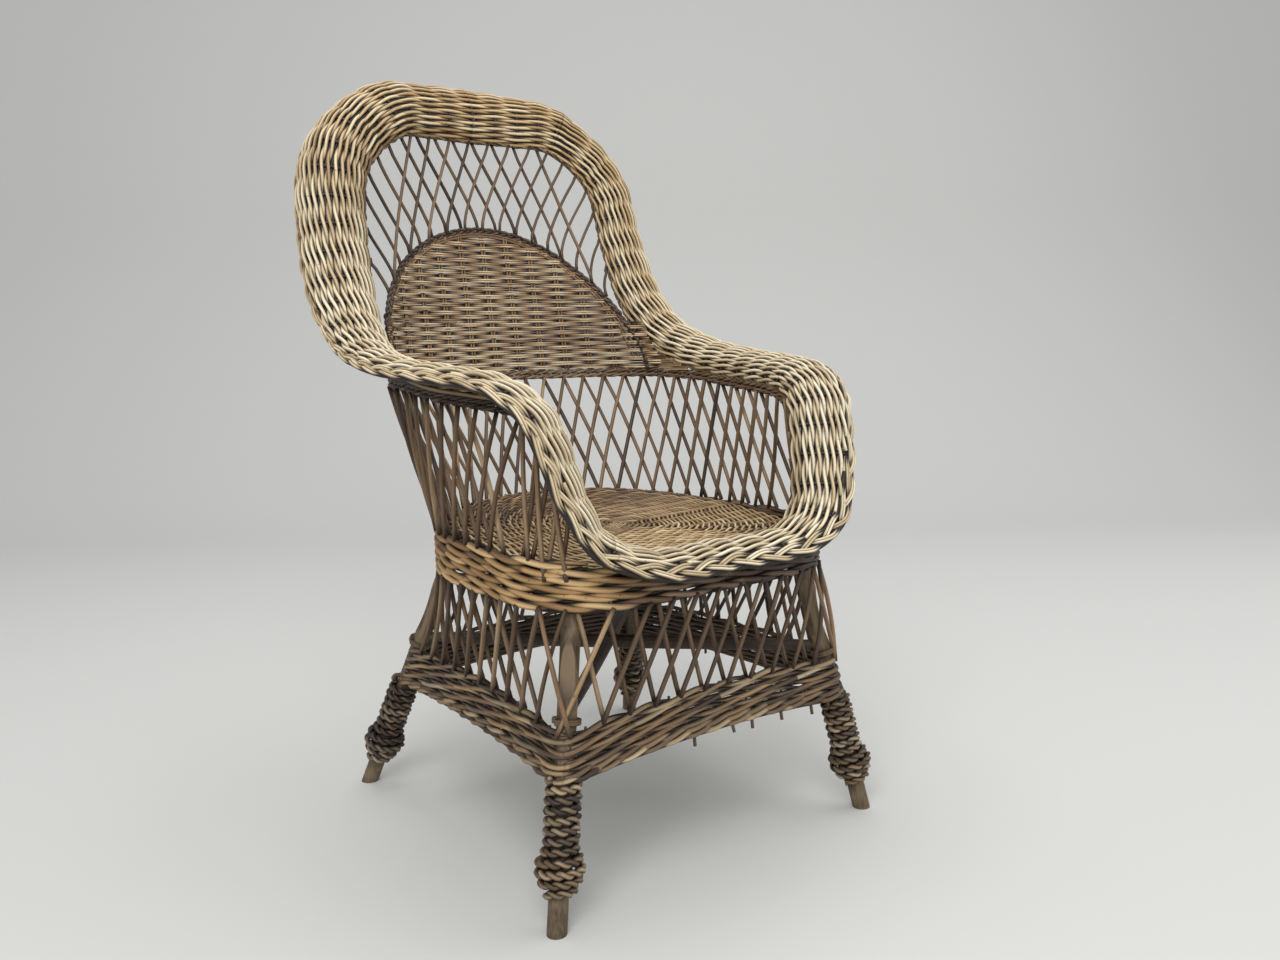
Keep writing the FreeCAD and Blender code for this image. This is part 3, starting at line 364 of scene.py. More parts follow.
# Lines of the chair that several pieces share
def legLine(front, sign):
    foot, top = (chair["frontFoot"], chair["frontTop"]) if front else (chair["rearFoot"], chair["rearTop"])
    drop = seatNormal * chair["hoopDrop"]
    level = (seatBase - drop)[2] + slope * (top[1] + drop[1])
    return np.array([sign * foot[0], foot[1], 0.0]), np.array([sign * top[0], top[1], level])


def legAt(line, level):
    return line[0] + (line[1] - line[0]) * (level / line[1][2])


legs = {
    "front_left": legLine(True, -1), "front_right": legLine(True, 1),
    "back_left": legLine(False, -1), "back_right": legLine(False, 1),
}


def outlineRuns(inset):
    side, corner = chair["seatSide"] - inset, chair["seatCorner"] - inset
    front, rear = inset - chair["seatFront"], -chair["seatRear"]
    return [side - corner, corner * math.pi / 2, rear - front - corner, side * math.pi / 2]


# Point of the seat outline at a run from its front middle, positive to the right
def outlineAt(run, inset, level):
    side, corner = chair["seatSide"] - inset, chair["seatCorner"] - inset
    front, rear = inset - chair["seatFront"], -chair["seatRear"]
    straight, bend, flank, _ = outlineRuns(inset)
    sign, left = math.copysign(1, run), abs(run)
    if left <= straight:
        return [sign * left, front, level]
    left -= straight
    if left <= bend:
        turn = left / corner
        return [sign * (side - corner + corner * math.sin(turn)), front + corner - corner * math.cos(turn), level]
    left -= bend
    if left <= flank:
        return [sign * side, front + corner + left, level]
    turn = (left - flank) / side
    return [sign * side * math.cos(turn), rear + side * math.sin(turn), level]


def outlineLoop(inset, level, step=3.0):
    total = sum(outlineRuns(inset))
    return np.array([outlineAt(run, inset, level) for run in np.arange(-total, total + step / 2, step)])


# Closed line's outward direction in plan
def planOutward(loop):
    tangent = unit(np.gradient(loop, axis=0))
    flat = unit(np.cross(tangent, up))
    middle = loop.mean(axis=0)
    return flat if np.sum(flat * (loop - middle)) > 0 else -flat


# Rolled rim: station rows from the front middle to the middle of the crest, in mm
rim = {
    "side": 235, "front": 221, "depth": 540, "level": 395, "height": 556, "rise": 65, "reach": 54, "turn": 165,
    "lanePitch": 4.45, "laneWidth": 4.8, "stakePitch": 40.0, "lift": 2.35, "middleDepth": 5.2,
    "plaitPeriod": 126.0, "frontSpread": 7.2, "armSpread": 4.8, "edgeSpread": 2.4, "plaitRod": 3.7, "plaitLift": 2.5,
    "plaitStep": 3.6, "stakeWidth": 5.0, "backingDepth": 8.6, "backingWidth": 6.4, "edgeRod": 4.4, "edgePeriod": 34.0,
}
placeShares = [
    (0, 0, 0), (.43, -.007, .004), (.645, .011, .05), (.72, .034, .131), (.76, .054, .221), (.803, .084, .288),
    (.868, .149, .322), (.952, .272, .336), (1, .43, .349), (.985, .593, .38), (.932, .733, .446), (.884, .834, .569),
    (.852, .893, .732), (.79, .922, .888), (.551, .95, .984), (.287, .985, 1), (0, .995, 1),
]
outwardShares = [
    (0, -.93, -.36), (.11, -.94, -.32), (.59, -.79, -.18), (.77, -.64, 0), (.83, -.56, 0), (.86, -.51, .05),
    (.92, -.37, .14), (.96, -.23, .14), (.99, -.05, .15), (.99, .07, .15), (.99, .13, .1), (.97, .26, -.03),
    (.89, .46, -.05), (.74, .65, .18), (.31, .83, .46), (.15, .86, .49), (0, .86, .5),
]
riseShares = [.34, .35, .37, .4, .43, .46, .49, .52, .55, .6, .65, .71, .77, .85, .92, .97, 1]
reachShares = [.7, .75, .81, .85, .85, .85, .85, .85, .87, .87, .89, .93, .94, .96, .98, 1, 1]


def rimRow(index):
    flip = 1
    if index < 0:
        index, flip = -index, -flip
    if index > 16:
        index, flip = 32 - index, -flip
    x, y, z = placeShares[index]
    outX, outY, outZ = outwardShares[index]
    return [flip * x * rim["side"], y * rim["depth"] - rim["front"], z * rim["height"] + rim["level"],
            flip * outX, outY, outZ, riseShares[index] * rim["rise"], reachShares[index] * rim["reach"]]


rimTable = np.array([rimRow(index) for index in range(-20, 21)])


def rimValues(station):
    station = np.asarray(station, float)
    index = np.floor(station).astype(int)
    t = (station - index)[:, None]
    p, q, r, s = (rimTable[index + step + 20] for step in (-1, 0, 1, 2))
    return (2 * q + (r - p) * t + (2 * p - 5 * q + 4 * r - s) * t ** 2 + (3 * q - p - 3 * r + s) * t ** 3) / 2


def rimFrame(station):
    values = rimValues(station)
    tangent = unit(rimValues(np.asarray(station) + 0.05)[:, :3] - rimValues(np.asarray(station) - 0.05)[:, :3])
    outward = values[:, 3:6]
    outward = unit(outward - tangent * np.sum(outward * tangent, axis=1, keepdims=True))
    return values[:, :3], outward, np.cross(outward, tangent), values[:, 6], values[:, 7]


# Point, outward normal and direction along the section of the roll at an angle
def rimSurface(frameValues, angle, depth):
    edge, outward, away, rise, reach = frameValues
    rise, reach = rise[:, None], reach[:, None]
    sine, cosine = np.sin(angle)[:, None], np.cos(angle)[:, None]
    point = edge + outward * reach + away * ((rise - depth) * sine) - outward * ((reach - depth) * cosine)
    normal = unit(away * (sine / rise) - outward * (cosine / reach))
    along = unit(away * (rise * cosine) + outward * (reach * sine))
    return point, normal, along


stations = np.linspace(-16, 16, 4001)
fine = rimFrame(stations)
fineMiddle, _, _ = rimSurface(fine, np.full(4001, math.radians(80)), 4.0)
fineRun = runAlong(fineMiddle)
rimStep = 6.4  # mm between the rings of a strand
rimCount = int(fineRun[-1] / rimStep)
rimStations = np.interp(np.linspace(0, fineRun[-1], rimCount + 1), fineRun, stations)
rimStations = np.clip(rimStations, -16, 15.9999)
rimHere = rimFrame(rimStations)
rimSegments = [("rim_crest", -16, -14), ("rim_back_left", -14, -10), ("rim_arm_left", -10, -6), ("rim_arm_front_left", -6, -2),
               ("rim_front", -2, 2), ("rim_arm_front_right", 2, 6), ("rim_arm_right", 6, 10),
               ("rim_back_right", 10, 14), ("rim_crest", 14, 17)]
rimLabels = np.array([next(name for name, low, high in rimSegments if low <= s < high) for s in rimStations])
print("rim loop", round(fineRun[-1]), "mm in", rimCount, "steps")

# The crest and its right side are golden, the arms and the front bleached pale
rimGold = np.interp(rimStations, [-16, -14, -12.4, -10, -7, 2, 7, 9.5, 11, 13, 16],
                    [0.95, 0.85, 0.35, 0.15, 0.1, 0.1, 0.15, 0.35, 0.6, 0.85, 0.95])
rollEnd = math.radians(rim["turn"])
arcAngles = np.linspace(0, rollEnd, 40)
arcPoints = np.array([rimSurface(rimHere, np.full(rimCount + 1, angle), rim["middleDepth"])[0] for angle in arcAngles])
arcRuns = np.concatenate([np.zeros((1, rimCount + 1)), np.cumsum(np.linalg.norm(np.diff(arcPoints, axis=0), axis=2), axis=0)])


# Angle round the roll at a distance from its inner edge, for each station
def rollAngle(run):
    return np.array([np.interp(here, arcRuns[:, k], arcAngles) for k, here in enumerate(run)])


away = np.abs(rimStations)
spreadKeys = ("frontSpread", "frontSpread", "armSpread", "armSpread", "edgeSpread")
plaitSpread = np.interp(away, [0, 2, 4, 7, 9.5], [rim[key] for key in spreadKeys])
plaitMiddle = arcRuns[-1] - plaitSpread - rim["plaitRod"] - 0.5
laneRoom = plaitMiddle - plaitSpread - 0.7 * rim["plaitRod"]
slant = np.interp(away, [0, 11, 13, 14.5, 16], [1.0, 1.0, 0.8, 0.25, 0.15])
rimRun = np.linspace(0, fineRun[-1], rimCount + 1)
stakeStep = fineRun[-1] / (2 * round(fineRun[-1] / (2 * rim["stakePitch"])))
rimWeaves = {name: newBundle() for name, _, _ in rimSegments}
rimPlaits = {name: newBundle() for name, _, _ in rimSegments}
laneBundles = {**rimWeaves, "hiddenUnderPlait": newBundle()}  # strands under the plait become no piece
seamFade = np.clip(np.minimum(np.arange(rimCount + 1), np.arange(rimCount + 1)[::-1]) / 12, 0, 1)
for pair in range(int(laneRoom.max() / (2 * rim["lanePitch"])) + 1):
    pairRun = (2 * pair + 1.1) * rim["lanePitch"]
    drift = 0.12 * smoothNoise(rimCount + 1, 10) * seamFade
    for strand in (0, 1):
        phase = math.pi * (rimRun / stakeStep + strand) + drift
        level = np.cos(phase)
        lane = (1 - slant) * (2 * strand - 1) - 1.1 * slant * np.sin(phase)
        run = pairRun + 0.5 * rim["lanePitch"] * lane + 0.22 * smoothNoise(rimCount + 1, 8) * seamFade
        labels = np.where(run < laneRoom, rimLabels, "hiddenUnderPlait")
        line, normal, along = rimSurface(rimHere, rollAngle(np.minimum(run, laneRoom)), rim["middleDepth"])
        path = line + normal * (rim["lift"] * np.interp(away, [12, 14.5], [1, 0.7]) * level)[:, None]
        tones = np.roll(rodTones(rimCount + 1, rimStep, 0.78, 0.15), int(chance.integers(rimCount)))
        # The pairs nearest the inner edge of the roll are painted darker, as the shade inside the roll
        tones = tones - 0.22 * math.exp(-pair / 1.2)
        layStrand(laneBundles, labels, path, width=rim["laneWidth"] * (0.95 + 0.09 * level), tone=tones,
                  gold=np.clip(rimGold + 0.12 * chance.normal(), 0, 1), soil=0.85 * hidden(level),
                  out=normal, sides=8, flank=0.8)
    # Dark strands on the inner face close the gaps between the pairs: painted shade for the shadowed inside of the roll
    run = np.minimum(pairRun - rim["lanePitch"], laneRoom)
    line, normal, along = rimSurface(rimHere, rollAngle(run), rim["backingDepth"])
    labels = np.where(pairRun - rim["lanePitch"] < laneRoom + 3, rimLabels, "hiddenUnderPlait")
    layStrand(laneBundles, labels[::2], line[::2], width=rim["backingWidth"], tone=0.42, gold=0.6, soil=0.12,
              out=-normal[::2], under=1.0)
for stake in range(int(round(fineRun[-1] / stakeStep))):
    station = np.interp(stake * stakeStep, fineRun, stations)
    nearest = int(round(stake * stakeStep / fineRun[-1] * rimCount))
    here = rimFrame(np.full(16, min(station, 15.9999)))
    line, normal, along = rimSurface(here, np.linspace(0.02, 1, 16) * rollAngle(laneRoom)[nearest], rim["middleDepth"])
    # The stakes are made dark: painted shade in the grooves between the strands
    addStrand(rimWeaves[rimLabels[nearest]], line, rim["stakeWidth"], 0.2, 0.4, 0.9, normal, 5)

# Plaited outer edge, broad along the arms and the front, and the dark bound edge beside the lattice
line, normal, along = rimSurface(rimHere, rollAngle(plaitMiddle), rim["middleDepth"] + 0.3)
line, along, normal, spreads = evenly(rim["plaitStep"], line, along, normal, plaitSpread[:, None])
underLine = line - unit(normal) * 3.2
plaitLabels = rimLabels[np.clip((np.linspace(0, 1, len(line)) * rimCount).astype(int), 0, rimCount)]
plaitGold = np.interp(np.linspace(0, 1, len(line)), np.linspace(0, 1, rimCount + 1), rimGold)
plaitPeriod = runAlong(line)[-1] / round(runAlong(line)[-1] / rim["plaitPeriod"])
for path, soil in plait(line, unit(along), unit(normal), plaitPeriod, spreads[:, 0], rim["plaitLift"], 2, rim["plaitRod"]):
    tones = np.roll(rodTones(len(line), rim["plaitStep"], 0.64, 0.12), 90)
    layStrand(rimPlaits, plaitLabels, path, width=rim["plaitRod"], tone=tones, gold=plaitGold, soil=soil,
              out=unit(normal), sides=8)
# The strands under the plait are painted dark on their outer face: painted shade in the gaps
for lane in (-1, 1):  # flat dark strands close the gaps under the plait
    layStrand(rimPlaits, plaitLabels, underLine + unit(along) * (lane * 0.7 * spreads), width=spreads[:, 0] * 1.2 + 3.5,
              tone=0.42, gold=0.5, soil=0.15, out=-unit(normal), under=1.0, flat=0.5)
line, normal, along = rimSurface(rimHere, np.full(rimCount + 1, 0.03), rim["middleDepth"])
for path, soil in twine(line, along, normal, rim["edgePeriod"], 2, 2.0, 2.0, 0, 1.0, 0.5):
    layStrand(rimPlaits, rimLabels, path, width=rim["edgeRod"], tone=rodTones(len(line), rimStep, 0.25, 0.1),
              gold=rimGold * 0.4, soil=0.35 + 0.4 * soil, out=normal)
for name in rimWeaves:
    short = "".join(word.capitalize() for word in name.split("_")[1:])
    makePiece("rimWeave" + short, rimWeaves[name], finishes["rim"], [name])
    makePiece("rimPlait" + short, rimPlaits[name], finishes["rim"], [])
print("rolled rim woven")

# Waist wale: under the arm rims and across the back, two twisted rows
waist = {
    "thick": 12, "underside": 14.6, "planShares": [(1, .53), (.89, .75), (.67, .9), (.36, .977), (0, 1)],
    "firstStation": 5.5, "lastStation": 8.5, "rowDrops": (3.6, 10.4), "rodWidth": 4.7, "period": 50.0, "lift": 2.9, "sway": 2.0,
}


def waistRows():
    edge, outward, _, _, _ = rimFrame(np.arange(waist["firstStation"], waist["lastStation"] + 0.01, 0.5))
    flat = unit(outward * np.array([1, 1, 0]))
    edges, ways = list(edge - np.array([0, 0, 0.3])), list(flat)
    plan = [(x * chair["backSide"], y * chair["backReach"]) for x, y in waist["planShares"]]
    for index, (x, y) in enumerate(plan):
        before = plan[max(index - 1, 0)]
        after = plan[index + 1] if index + 1 < len(plan) else (-plan[index - 1][0], plan[index - 1][1])
        run = np.array([after[0] - before[0], after[1] - before[1], 0.0])
        edges.append(np.array([x, y, chair["backLevel"]]))
        ways.append(unit(np.cross(run, up)))
    flip = np.array([-1, 1, 1])
    edges, ways = np.array(edges), np.array(ways)
    return np.concatenate([edges, edges[-2::-1] * flip]), np.concatenate([ways, ways[-2::-1] * flip])


waistEdges, waistWays = waistRows()
waistRuns = runAlong(waistEdges)
armRows = len(waistEdges) // 2 - len(waist["planShares"]) + 1


def waistAt(share, depth, drop):
    at = np.clip(share, 0, 1) * waistRuns[-1]
    edge = np.array([np.interp(at, waistRuns, waistEdges[:, k]) for k in range(3)])
    way = unit(np.array([np.interp(at, waistRuns, waistWays[:, k]) for k in range(3)]))
    return edge + way * depth - up * drop


def roundedLine(points, reach):
    spread = max(1, int(reach))
    kernel = np.hanning(2 * spread + 3)[1:-1]
    kernel /= kernel.sum()
    ends = [np.repeat(points[:1], spread, 0), points, np.repeat(points[-1:], spread, 0)]
    padded = np.concatenate(ends)
    return np.stack([np.convolve(padded[:, k], kernel, "valid") for k in range(3)], 1)[:len(points)]


waistBundles = {name: newBundle() for name in ("waist_right", "waist_back", "waist_left")}
for row, drop in enumerate(waist["rowDrops"]):
    line = np.array([waistAt(share, 6.0, drop) for share in np.linspace(0, 1, 260)])
    line = evenly(4.6, roundedLine(line, 7))
    outward = planOutward(line)
    share = np.linspace(0, 1, len(line))
    rightEnd = waistRuns[armRows] / waistRuns[-1]
    labels = np.where(share < rightEnd, "waist_right", np.where(share > 1 - rightEnd, "waist_left", "waist_back"))
    # The back is lighter and the right medium brown; the left is painted dark as the shade under the left arm
    lightness = np.interp(share, [0, 0.25, 0.32, 0.68, 0.75, 1], [0.5, 0.5, 0.62, 0.62, 0.25, 0.15])
    upward = np.tile(up, (len(line), 1))
    for path, soil in twine(line, upward, outward, waist["period"], 3, waist["lift"], waist["sway"], 0.2 * row, 1.0, 0.6):
        layStrand(waistBundles, labels, path, width=waist["rodWidth"], tone=rodTones(len(line), 4.6, 0, 0.12) + lightness,
                  gold=0.5, soil=0.4 * soil + 0.1, out=outward, flank=0.6)
for name, bundle in waistBundles.items():
    makePiece("waistWale" + name.split("_")[1].capitalize(), bundle, finishes["dark"], [name])

# Seat band: thick wale rows round the seat, the upper ones end beside the front
band = {
    "rodWidth": 7.6, "innerWidth": 6.6, "lift": 2.6, "sway": 2.6, "period": 112.0, "inset": 7.6,
    "rows": (351.4, 360.6, 369.8, 379.0), "upperRows": (388.6, 399.0), "upperStart": 120, "upperStep": 60,
}


# Golden on the left; the darker brown elsewhere is partly the band's own colour and partly painted shade under the rim
def bandGold(points):
    return np.clip((-points[:, 0] - 70) / 110, 0.1, 1)


bandBundle, upperBundle = newBundle(), newBundle()


# One row of the band: a pair of thick rods in turns outside, leaf-shaped where they show, on an inner rod whose outer
# face is painted dark as shade in the gaps
def bandRow(bundle, line, row, taper=1.0):
    outward = planOutward(line)
    length = runAlong(line)[-1]
    upward = np.tile(up, (len(line), 1))
    period = length / round(length / band["period"])
    for path, soil in twine(line, upward, outward, period, 2, band["lift"], band["sway"], 0.29 * row, -1.0, 0.8):
        width = band["rodWidth"] * (1.08 - 0.4 * soil) * taper
        # Painted shadow: the front of the band lies under the rim and is painted darker
        shaded = np.clip((path[:, 0] + 90) / 120, 0, 1) * np.clip((-path[:, 1] - 90) / 90, 0, 1)
        tones = rodTones(len(line), 5.0, 0.5, 0.16, 260) - 0.3 * shaded
        addStrand(bundle, path, width, tones, bandGold(path), 1.1 * soil, outward, 8)
    # The inner rod is painted dark on its outer face: painted shade between the rows
    inner = line - outward * 3.6 - upward * 4.6
    addStrand(bundle, inner, band["innerWidth"] * np.full(len(line), 1.0) * taper, 0.35, 0.2, 0.2, -outward, under=1.0)


for row, level in enumerate(band["rows"]):
    line = evenly(5.0, outlineLoop(band["inset"], level))
    line[:, 2] += 0.8 * smoothNoise(len(line), 30) * np.clip(np.minimum(np.arange(len(line)), np.arange(len(line))[::-1]) / 20, 0, 1)
    bandRow(bandBundle, line, row)
total = sum(outlineRuns(band["inset"]))
endRun = next(run for run in np.arange(0, total, 1.0) if outlineAt(run, band["inset"], 0)[1] > -chair["upperEnd"])
for row, level in enumerate(band["upperRows"]):
    start = endRun - band["upperStart"] + band["upperStep"] * row
    runs = np.arange(start, 2 * total - start, 3.0)
    line = evenly(5.0, np.array([outlineAt(run if run <= total else run - 2 * total, band["inset"], level) for run in runs]))
    bandRow(upperBundle, line, row + 4, 0.3 + 0.7 * np.clip(np.minimum(np.arange(len(line)), np.arange(len(line))[::-1]) / 9, 0, 1))
makePiece("seatBandWale", bandBundle, finishes["band"], ["seat_band"])
makePiece("seatBandUpperWale", upperBundle, finishes["band"], ["seat_band_upper"])
print("bands woven")

# Seat: rings of paired strands round an eye, crossing radial stakes
seat = {
    "eye": (0.0, -45.0), "inset": 20.5, "rings": 27, "stakes": 56, "dish": 7.0, "middleDepth": 3.7, "point": 0.11,
    "rodWidth": 4.2, "backingWidth": 8.2, "stakeWidth": 4.0, "lift": 1.6, "sway": 1.8, "period": 48.0,
}


def seatPoint(x, y, depth):
    away = np.hypot(x - seat["eye"][0], y - seat["eye"][1])
    low = seat["dish"] * np.clip(1 - (away / chair["seatSide"] - 0.035) / (1.12 - 0.035), 0, 1)
    level = seatBase[2] + slope * y
    return np.stack([x, y, level], -1) - seatNormal * (low + depth)[..., None]


seatOutline = evenly(1.0, outlineLoop(seat["inset"], 0.0, 2.0))
seatAngles = np.unwrap(np.arctan2(seatOutline[:, 1] - seat["eye"][1], seatOutline[:, 0] - seat["eye"][0]))
if seatAngles[-1] < seatAngles[0]:
    seatOutline, seatAngles = seatOutline[::-1], seatAngles[::-1]
turns = np.linspace(0, 2 * math.pi, 721)
reaches = np.hypot(seatOutline[:, 0] - seat["eye"][0], seatOutline[:, 1] - seat["eye"][1])
spokes = np.interp((turns - seatAngles[0]) % (2 * math.pi) + seatAngles[0], seatAngles, reaches)


def seatReach(angle):
    return np.interp(angle % (2 * math.pi), turns, spokes)


seatBundle = newBundle()
for ring in range(seat["rings"]):
    share = (ring + 1.6) / (seat["rings"] + 1.1)
    angle = np.linspace(0, 2 * math.pi, 541)
    point = seat["point"] * (1 - 0.75 * share ** 3)
    reach = seatReach(angle) * share * (1 - point * (1 - np.exp(-np.abs(np.sin(angle)) / 0.16)))
    flatLine = np.stack([seat["eye"][0] + reach * np.cos(angle), seat["eye"][1] + reach * np.sin(angle)], 1)
    line = seatPoint(flatLine[:, 0], flatLine[:, 1], np.full(541, seat["middleDepth"]))
    line = evenly(4.0, line)
    out = np.tile(seatNormal, (len(line), 1))
    sideways = unit(np.cross(out, np.gradient(line, axis=0)))
    length = runAlong(line)[-1]
    half = np.where(line[:, 1] > seat["eye"][1], 1.0, -1.0)
    period = length / max(4, round(length / seat["period"]))
    for path, soil in twine(line, sideways * half[:, None], out, period, 2, seat["lift"], seat["sway"], 0.5 * (ring % 2), 1.0, 0.3):
        away = np.hypot((path[:, 0] - seat["eye"][0]) / 1.3, path[:, 1] - seat["eye"][1])
        brown = np.clip(np.maximum((path[:, 1] + 60) / 130, 1.25 - away / 42), 0, 1)
        axis = np.exp(-((path[:, 1] - seat["eye"][1]) / 24) ** 2)
        # Every other ring is painted darker, as the shade lines between the rows
        darker = 0.12 * axis + 0.16 * (ring % 2) * brown
        tones = rodTones(len(line), 4.0, 0.54, 0.13, 300) - darker
        addStrand(seatBundle, path, seat["rodWidth"], tones, brown, soil * (1 + 0.6 * axis), out, flank=1.0)
    # A dark flat strand under each ring: painted shade in the gaps between rings
    addStrand(seatBundle, line - out * 1.6, seat["backingWidth"], 0.3, 0.8, 0.6, out, flat=0.3)
for stake in range(seat["stakes"]):
    angle = 2 * math.pi * (stake + 0.5) / seat["stakes"]
    first = 0.05 if stake % 4 == 0 else (0.3 if stake % 2 == 0 else 0.55)
    reach = np.linspace(first, 1.0, 8) * seatReach(np.array([angle]))[0]
    x, y = seat["eye"][0] + reach * math.cos(angle), seat["eye"][1] + reach * math.sin(angle)
    line = seatPoint(x, y, np.full(8, seat["middleDepth"] + 0.6))
    addStrand(seatBundle, line, seat["stakeWidth"], 0.4, 0.8, 0.5, np.tile(seatNormal, (8, 1)), 5)
# Bundle of bottom sticks crossed over the eye
for stick in range(6):
    lane = (stick - 2.5) * 4.4
    for way in (-1, 1):
        across = np.linspace(-19, 19, 6)
        x = across * 0.9 + lane * 0.75
        y = seat["eye"][1] + way * (across * 0.62 - lane * 0.5)
        line = seatPoint(x, y, np.full(6, 2.1 if way > 0 else 3.6))
        # The lower sticks are painted darker, as shade under the upper ones
        addStrand(seatBundle, line, 4.2, 0.72 if way > 0 else 0.45, 0.55, 0.1, np.tile(seatNormal, (6, 1)), 6, 0.6)
makePiece("seatWeave", seatBundle, finishes["seat"], ["seat_panel"])
print("seat woven")

# Half-moon back panel: paired weft rods over and under paired stakes
panel = {
    "rowPitch": 6.2, "lane": 1.56, "rodWidth": 3.0, "lift": 2.7, "middle": 3.5, "wingHeight": 76, "cornerRows": 7,
    "stakePitch": 40.0, "stakeLane": 2.3, "stakeWidth": 3.6, "curveRod": 4.6,
}
backLean = math.tan(math.radians(chair["backAngle"]))
planX = np.array(sorted(x * chair["backSide"] for x, _ in waist["planShares"]))
planY = np.array([y * chair["backReach"] for _, y in sorted(waist["planShares"])])
smoothX = np.linspace(-chair["backSide"], chair["backSide"], 453)
rawY = np.interp(np.abs(smoothX), planX, planY)
softY = np.convolve(np.pad(rawY, 24, "edge"), np.hanning(51)[1:-1] / np.hanning(51)[1:-1].sum(), "valid")
softY = np.where(np.abs(smoothX) > chair["backSide"] - 26, rawY, softY)


def backReach(x, level):
    return np.interp(x, smoothX, softY) + backLean * (level - chair["backLevel"])


panelBundle = newBundle()
rows = int((chair["archRadius"] - 3) / panel["rowPitch"])
rimInner = rimFrame(np.linspace(9.3, 15.999, 260))[0]
for row in range(rows):
    height = (row + 0.5) * panel["rowPitch"]
    half = math.sqrt(max(chair["archRadius"] ** 2 - height ** 2, 100)) + 2
    if height < panel["wingHeight"]:  # the lowest rows run on to the rim
        half = np.interp(chair["backLevel"] + height, rimInner[:, 2], rimInner[:, 0]) + 3
    x = np.linspace(-half, half, max(8, int(2 * half / 4)))
    level = np.full(len(x), chair["backLevel"] + 0.5 + height)
    line = np.stack([x, backReach(x, level) + panel["middle"], level], 1)
    run = runAlong(line)
    middleRun = np.interp(0.0, x, run)
    out = -unit(np.cross(np.gradient(line, axis=0), up))
    out = np.where(out[:, 1:2] > 0, -out, out)
    wave = np.cos(math.pi * (run - middleRun) / panel["stakePitch"] + math.pi * row)
    wave = np.sign(wave) * np.abs(wave) ** 1.5
    for lane in (-1, 1):
        rise = lane * panel["lane"] + 0.2 * smoothNoise(len(line), 8)
        path = line + out * (panel["lift"] * wave)[:, None] + up * rise[:, None]
        # Painted highlight where the rods stand out and painted shade where they pass behind
        tones = rodTones(len(line), 4.0, 0.6, 0.13, 240) + 0.24 * wave
        addStrand(panelBundle, path, panel["rodWidth"], tones, 0.5, 0.02 + hidden(wave), out, 8, flank=0.85)
for stake in range(-5, 6):
    for lane in (-panel["stakeLane"], panel["stakeLane"]):
        run = stake * panel["stakePitch"] + lane
        xs = np.linspace(-230, 230, 461)
        arc = runAlong(np.stack([xs, backReach(xs, 0 * xs + chair["backLevel"]), 0 * xs], 1))
        x = float(np.interp(run + np.interp(0, xs, arc), arc, xs))
        if abs(x) > chair["archRadius"] - 8:
            continue
        top = math.sqrt(chair["archRadius"] ** 2 - x ** 2) + 2
        level = chair["backLevel"] + np.linspace(0, top, 6)
        line = np.stack([np.full(6, x), backReach(np.full(6, x), level) + panel["middle"], level], 1)
        addStrand(panelBundle, line, panel["stakeWidth"], 0.5, 0.5, 0.3, np.tile(frontWay, (6, 1)), flank=0.6)
# Two rods close the curve under the braid
curve = np.linspace(0.06, math.pi - 0.06, 120)
for edge in (-3.2, 0.6):
    radius = chair["archRadius"] + edge
    x, level = radius * np.cos(curve), chair["backLevel"] + radius * np.sin(curve)
    line = np.stack([x, backReach(x, level) + panel["middle"], level], 1)
    addStrand(panelBundle, line, panel["curveRod"], 0.45, 0.5, 0.2, np.tile(frontWay, (120, 1)))
# Short rows run on round the corner until they meet the rim
cornerEdge = rimFrame(np.linspace(8.8, 10.4, 40))[0]
cornerWaist = np.array([waistAt(share, 8.0, 0.0) for share in np.linspace(0.36, 0.19, 40)])[::-1]
for sign in (-1, 1):
    for row in range(panel["cornerRows"]):
        height = row * panel["rowPitch"] - 1.0
        lastX, lastY = (np.interp(chair["backLevel"] + height, cornerEdge[:, 2], cornerEdge[:, k]) for k in (0, 1))
        y = np.linspace(172, lastY - 3, 16)
        x = np.interp(y, cornerWaist[:, 1], cornerWaist[:, 0])
        x = x + np.linspace(0, 0.8, 16) * (lastX - x[-1]) - 1.0
        line = np.stack([sign * x, y, np.full(16, chair["backLevel"] + 0.5 + height)], 1)
        for lane in (-1, 1):
            inward = np.tile(np.array([-sign, -0.6, 0.0]), (16, 1))
            tones = rodTones(16, 6.0, 0.55, 0.13, 120)
            addStrand(panelBundle, line + up * lane * panel["lane"], panel["rodWidth"] + 0.3, tones, 0.5, 0.1, inward, 8)
makePiece("backPanelWeave", panelBundle, finishes["panel"], ["back_panel"])

# Dark braid on the arched edge of the panel
archBundle = newBundle()
turnAngles = np.linspace(0, math.pi, 200)
radius = chair["archRadius"] + 5.8
level = np.maximum(chair["backLevel"] + radius * np.sin(turnAngles), chair["backLevel"] - 6)
x = radius * np.cos(turnAngles)
line = evenly(3.4, np.stack([x, backReach(x, level) + panel["middle"], level], 1))
radial = unit(np.stack([line[:, 0], 0 * line[:, 0], line[:, 2] - chair["backLevel"] + 1], 1))
ahead = np.tile(frontWay, (len(line), 1))
for path, soil in plait(line, radial, ahead, 38.0, 3.0, 2.3, 1, 4.6):
    addStrand(archBundle, path, 4.6, rodTones(len(line), 3.4, 0.4, 0.12), 0.2, soil, ahead)
makePiece("backArchBraid", archBundle, finishes["dark"], ["back_arch"])
print("back panel woven")

# Lattice rods: bowed rods in two layers that cross
lattice = {"rodWidth": 5.4, "gap": 1.7, "clear": 0.3, "skirtCount": 12, "skirtLean": 44, "wallCount": 36, "wallLean": 64}
layerStep = lattice["rodWidth"] + lattice["gap"]
layerStart = lattice["rodWidth"] / 2 + 2 * lattice["clear"]


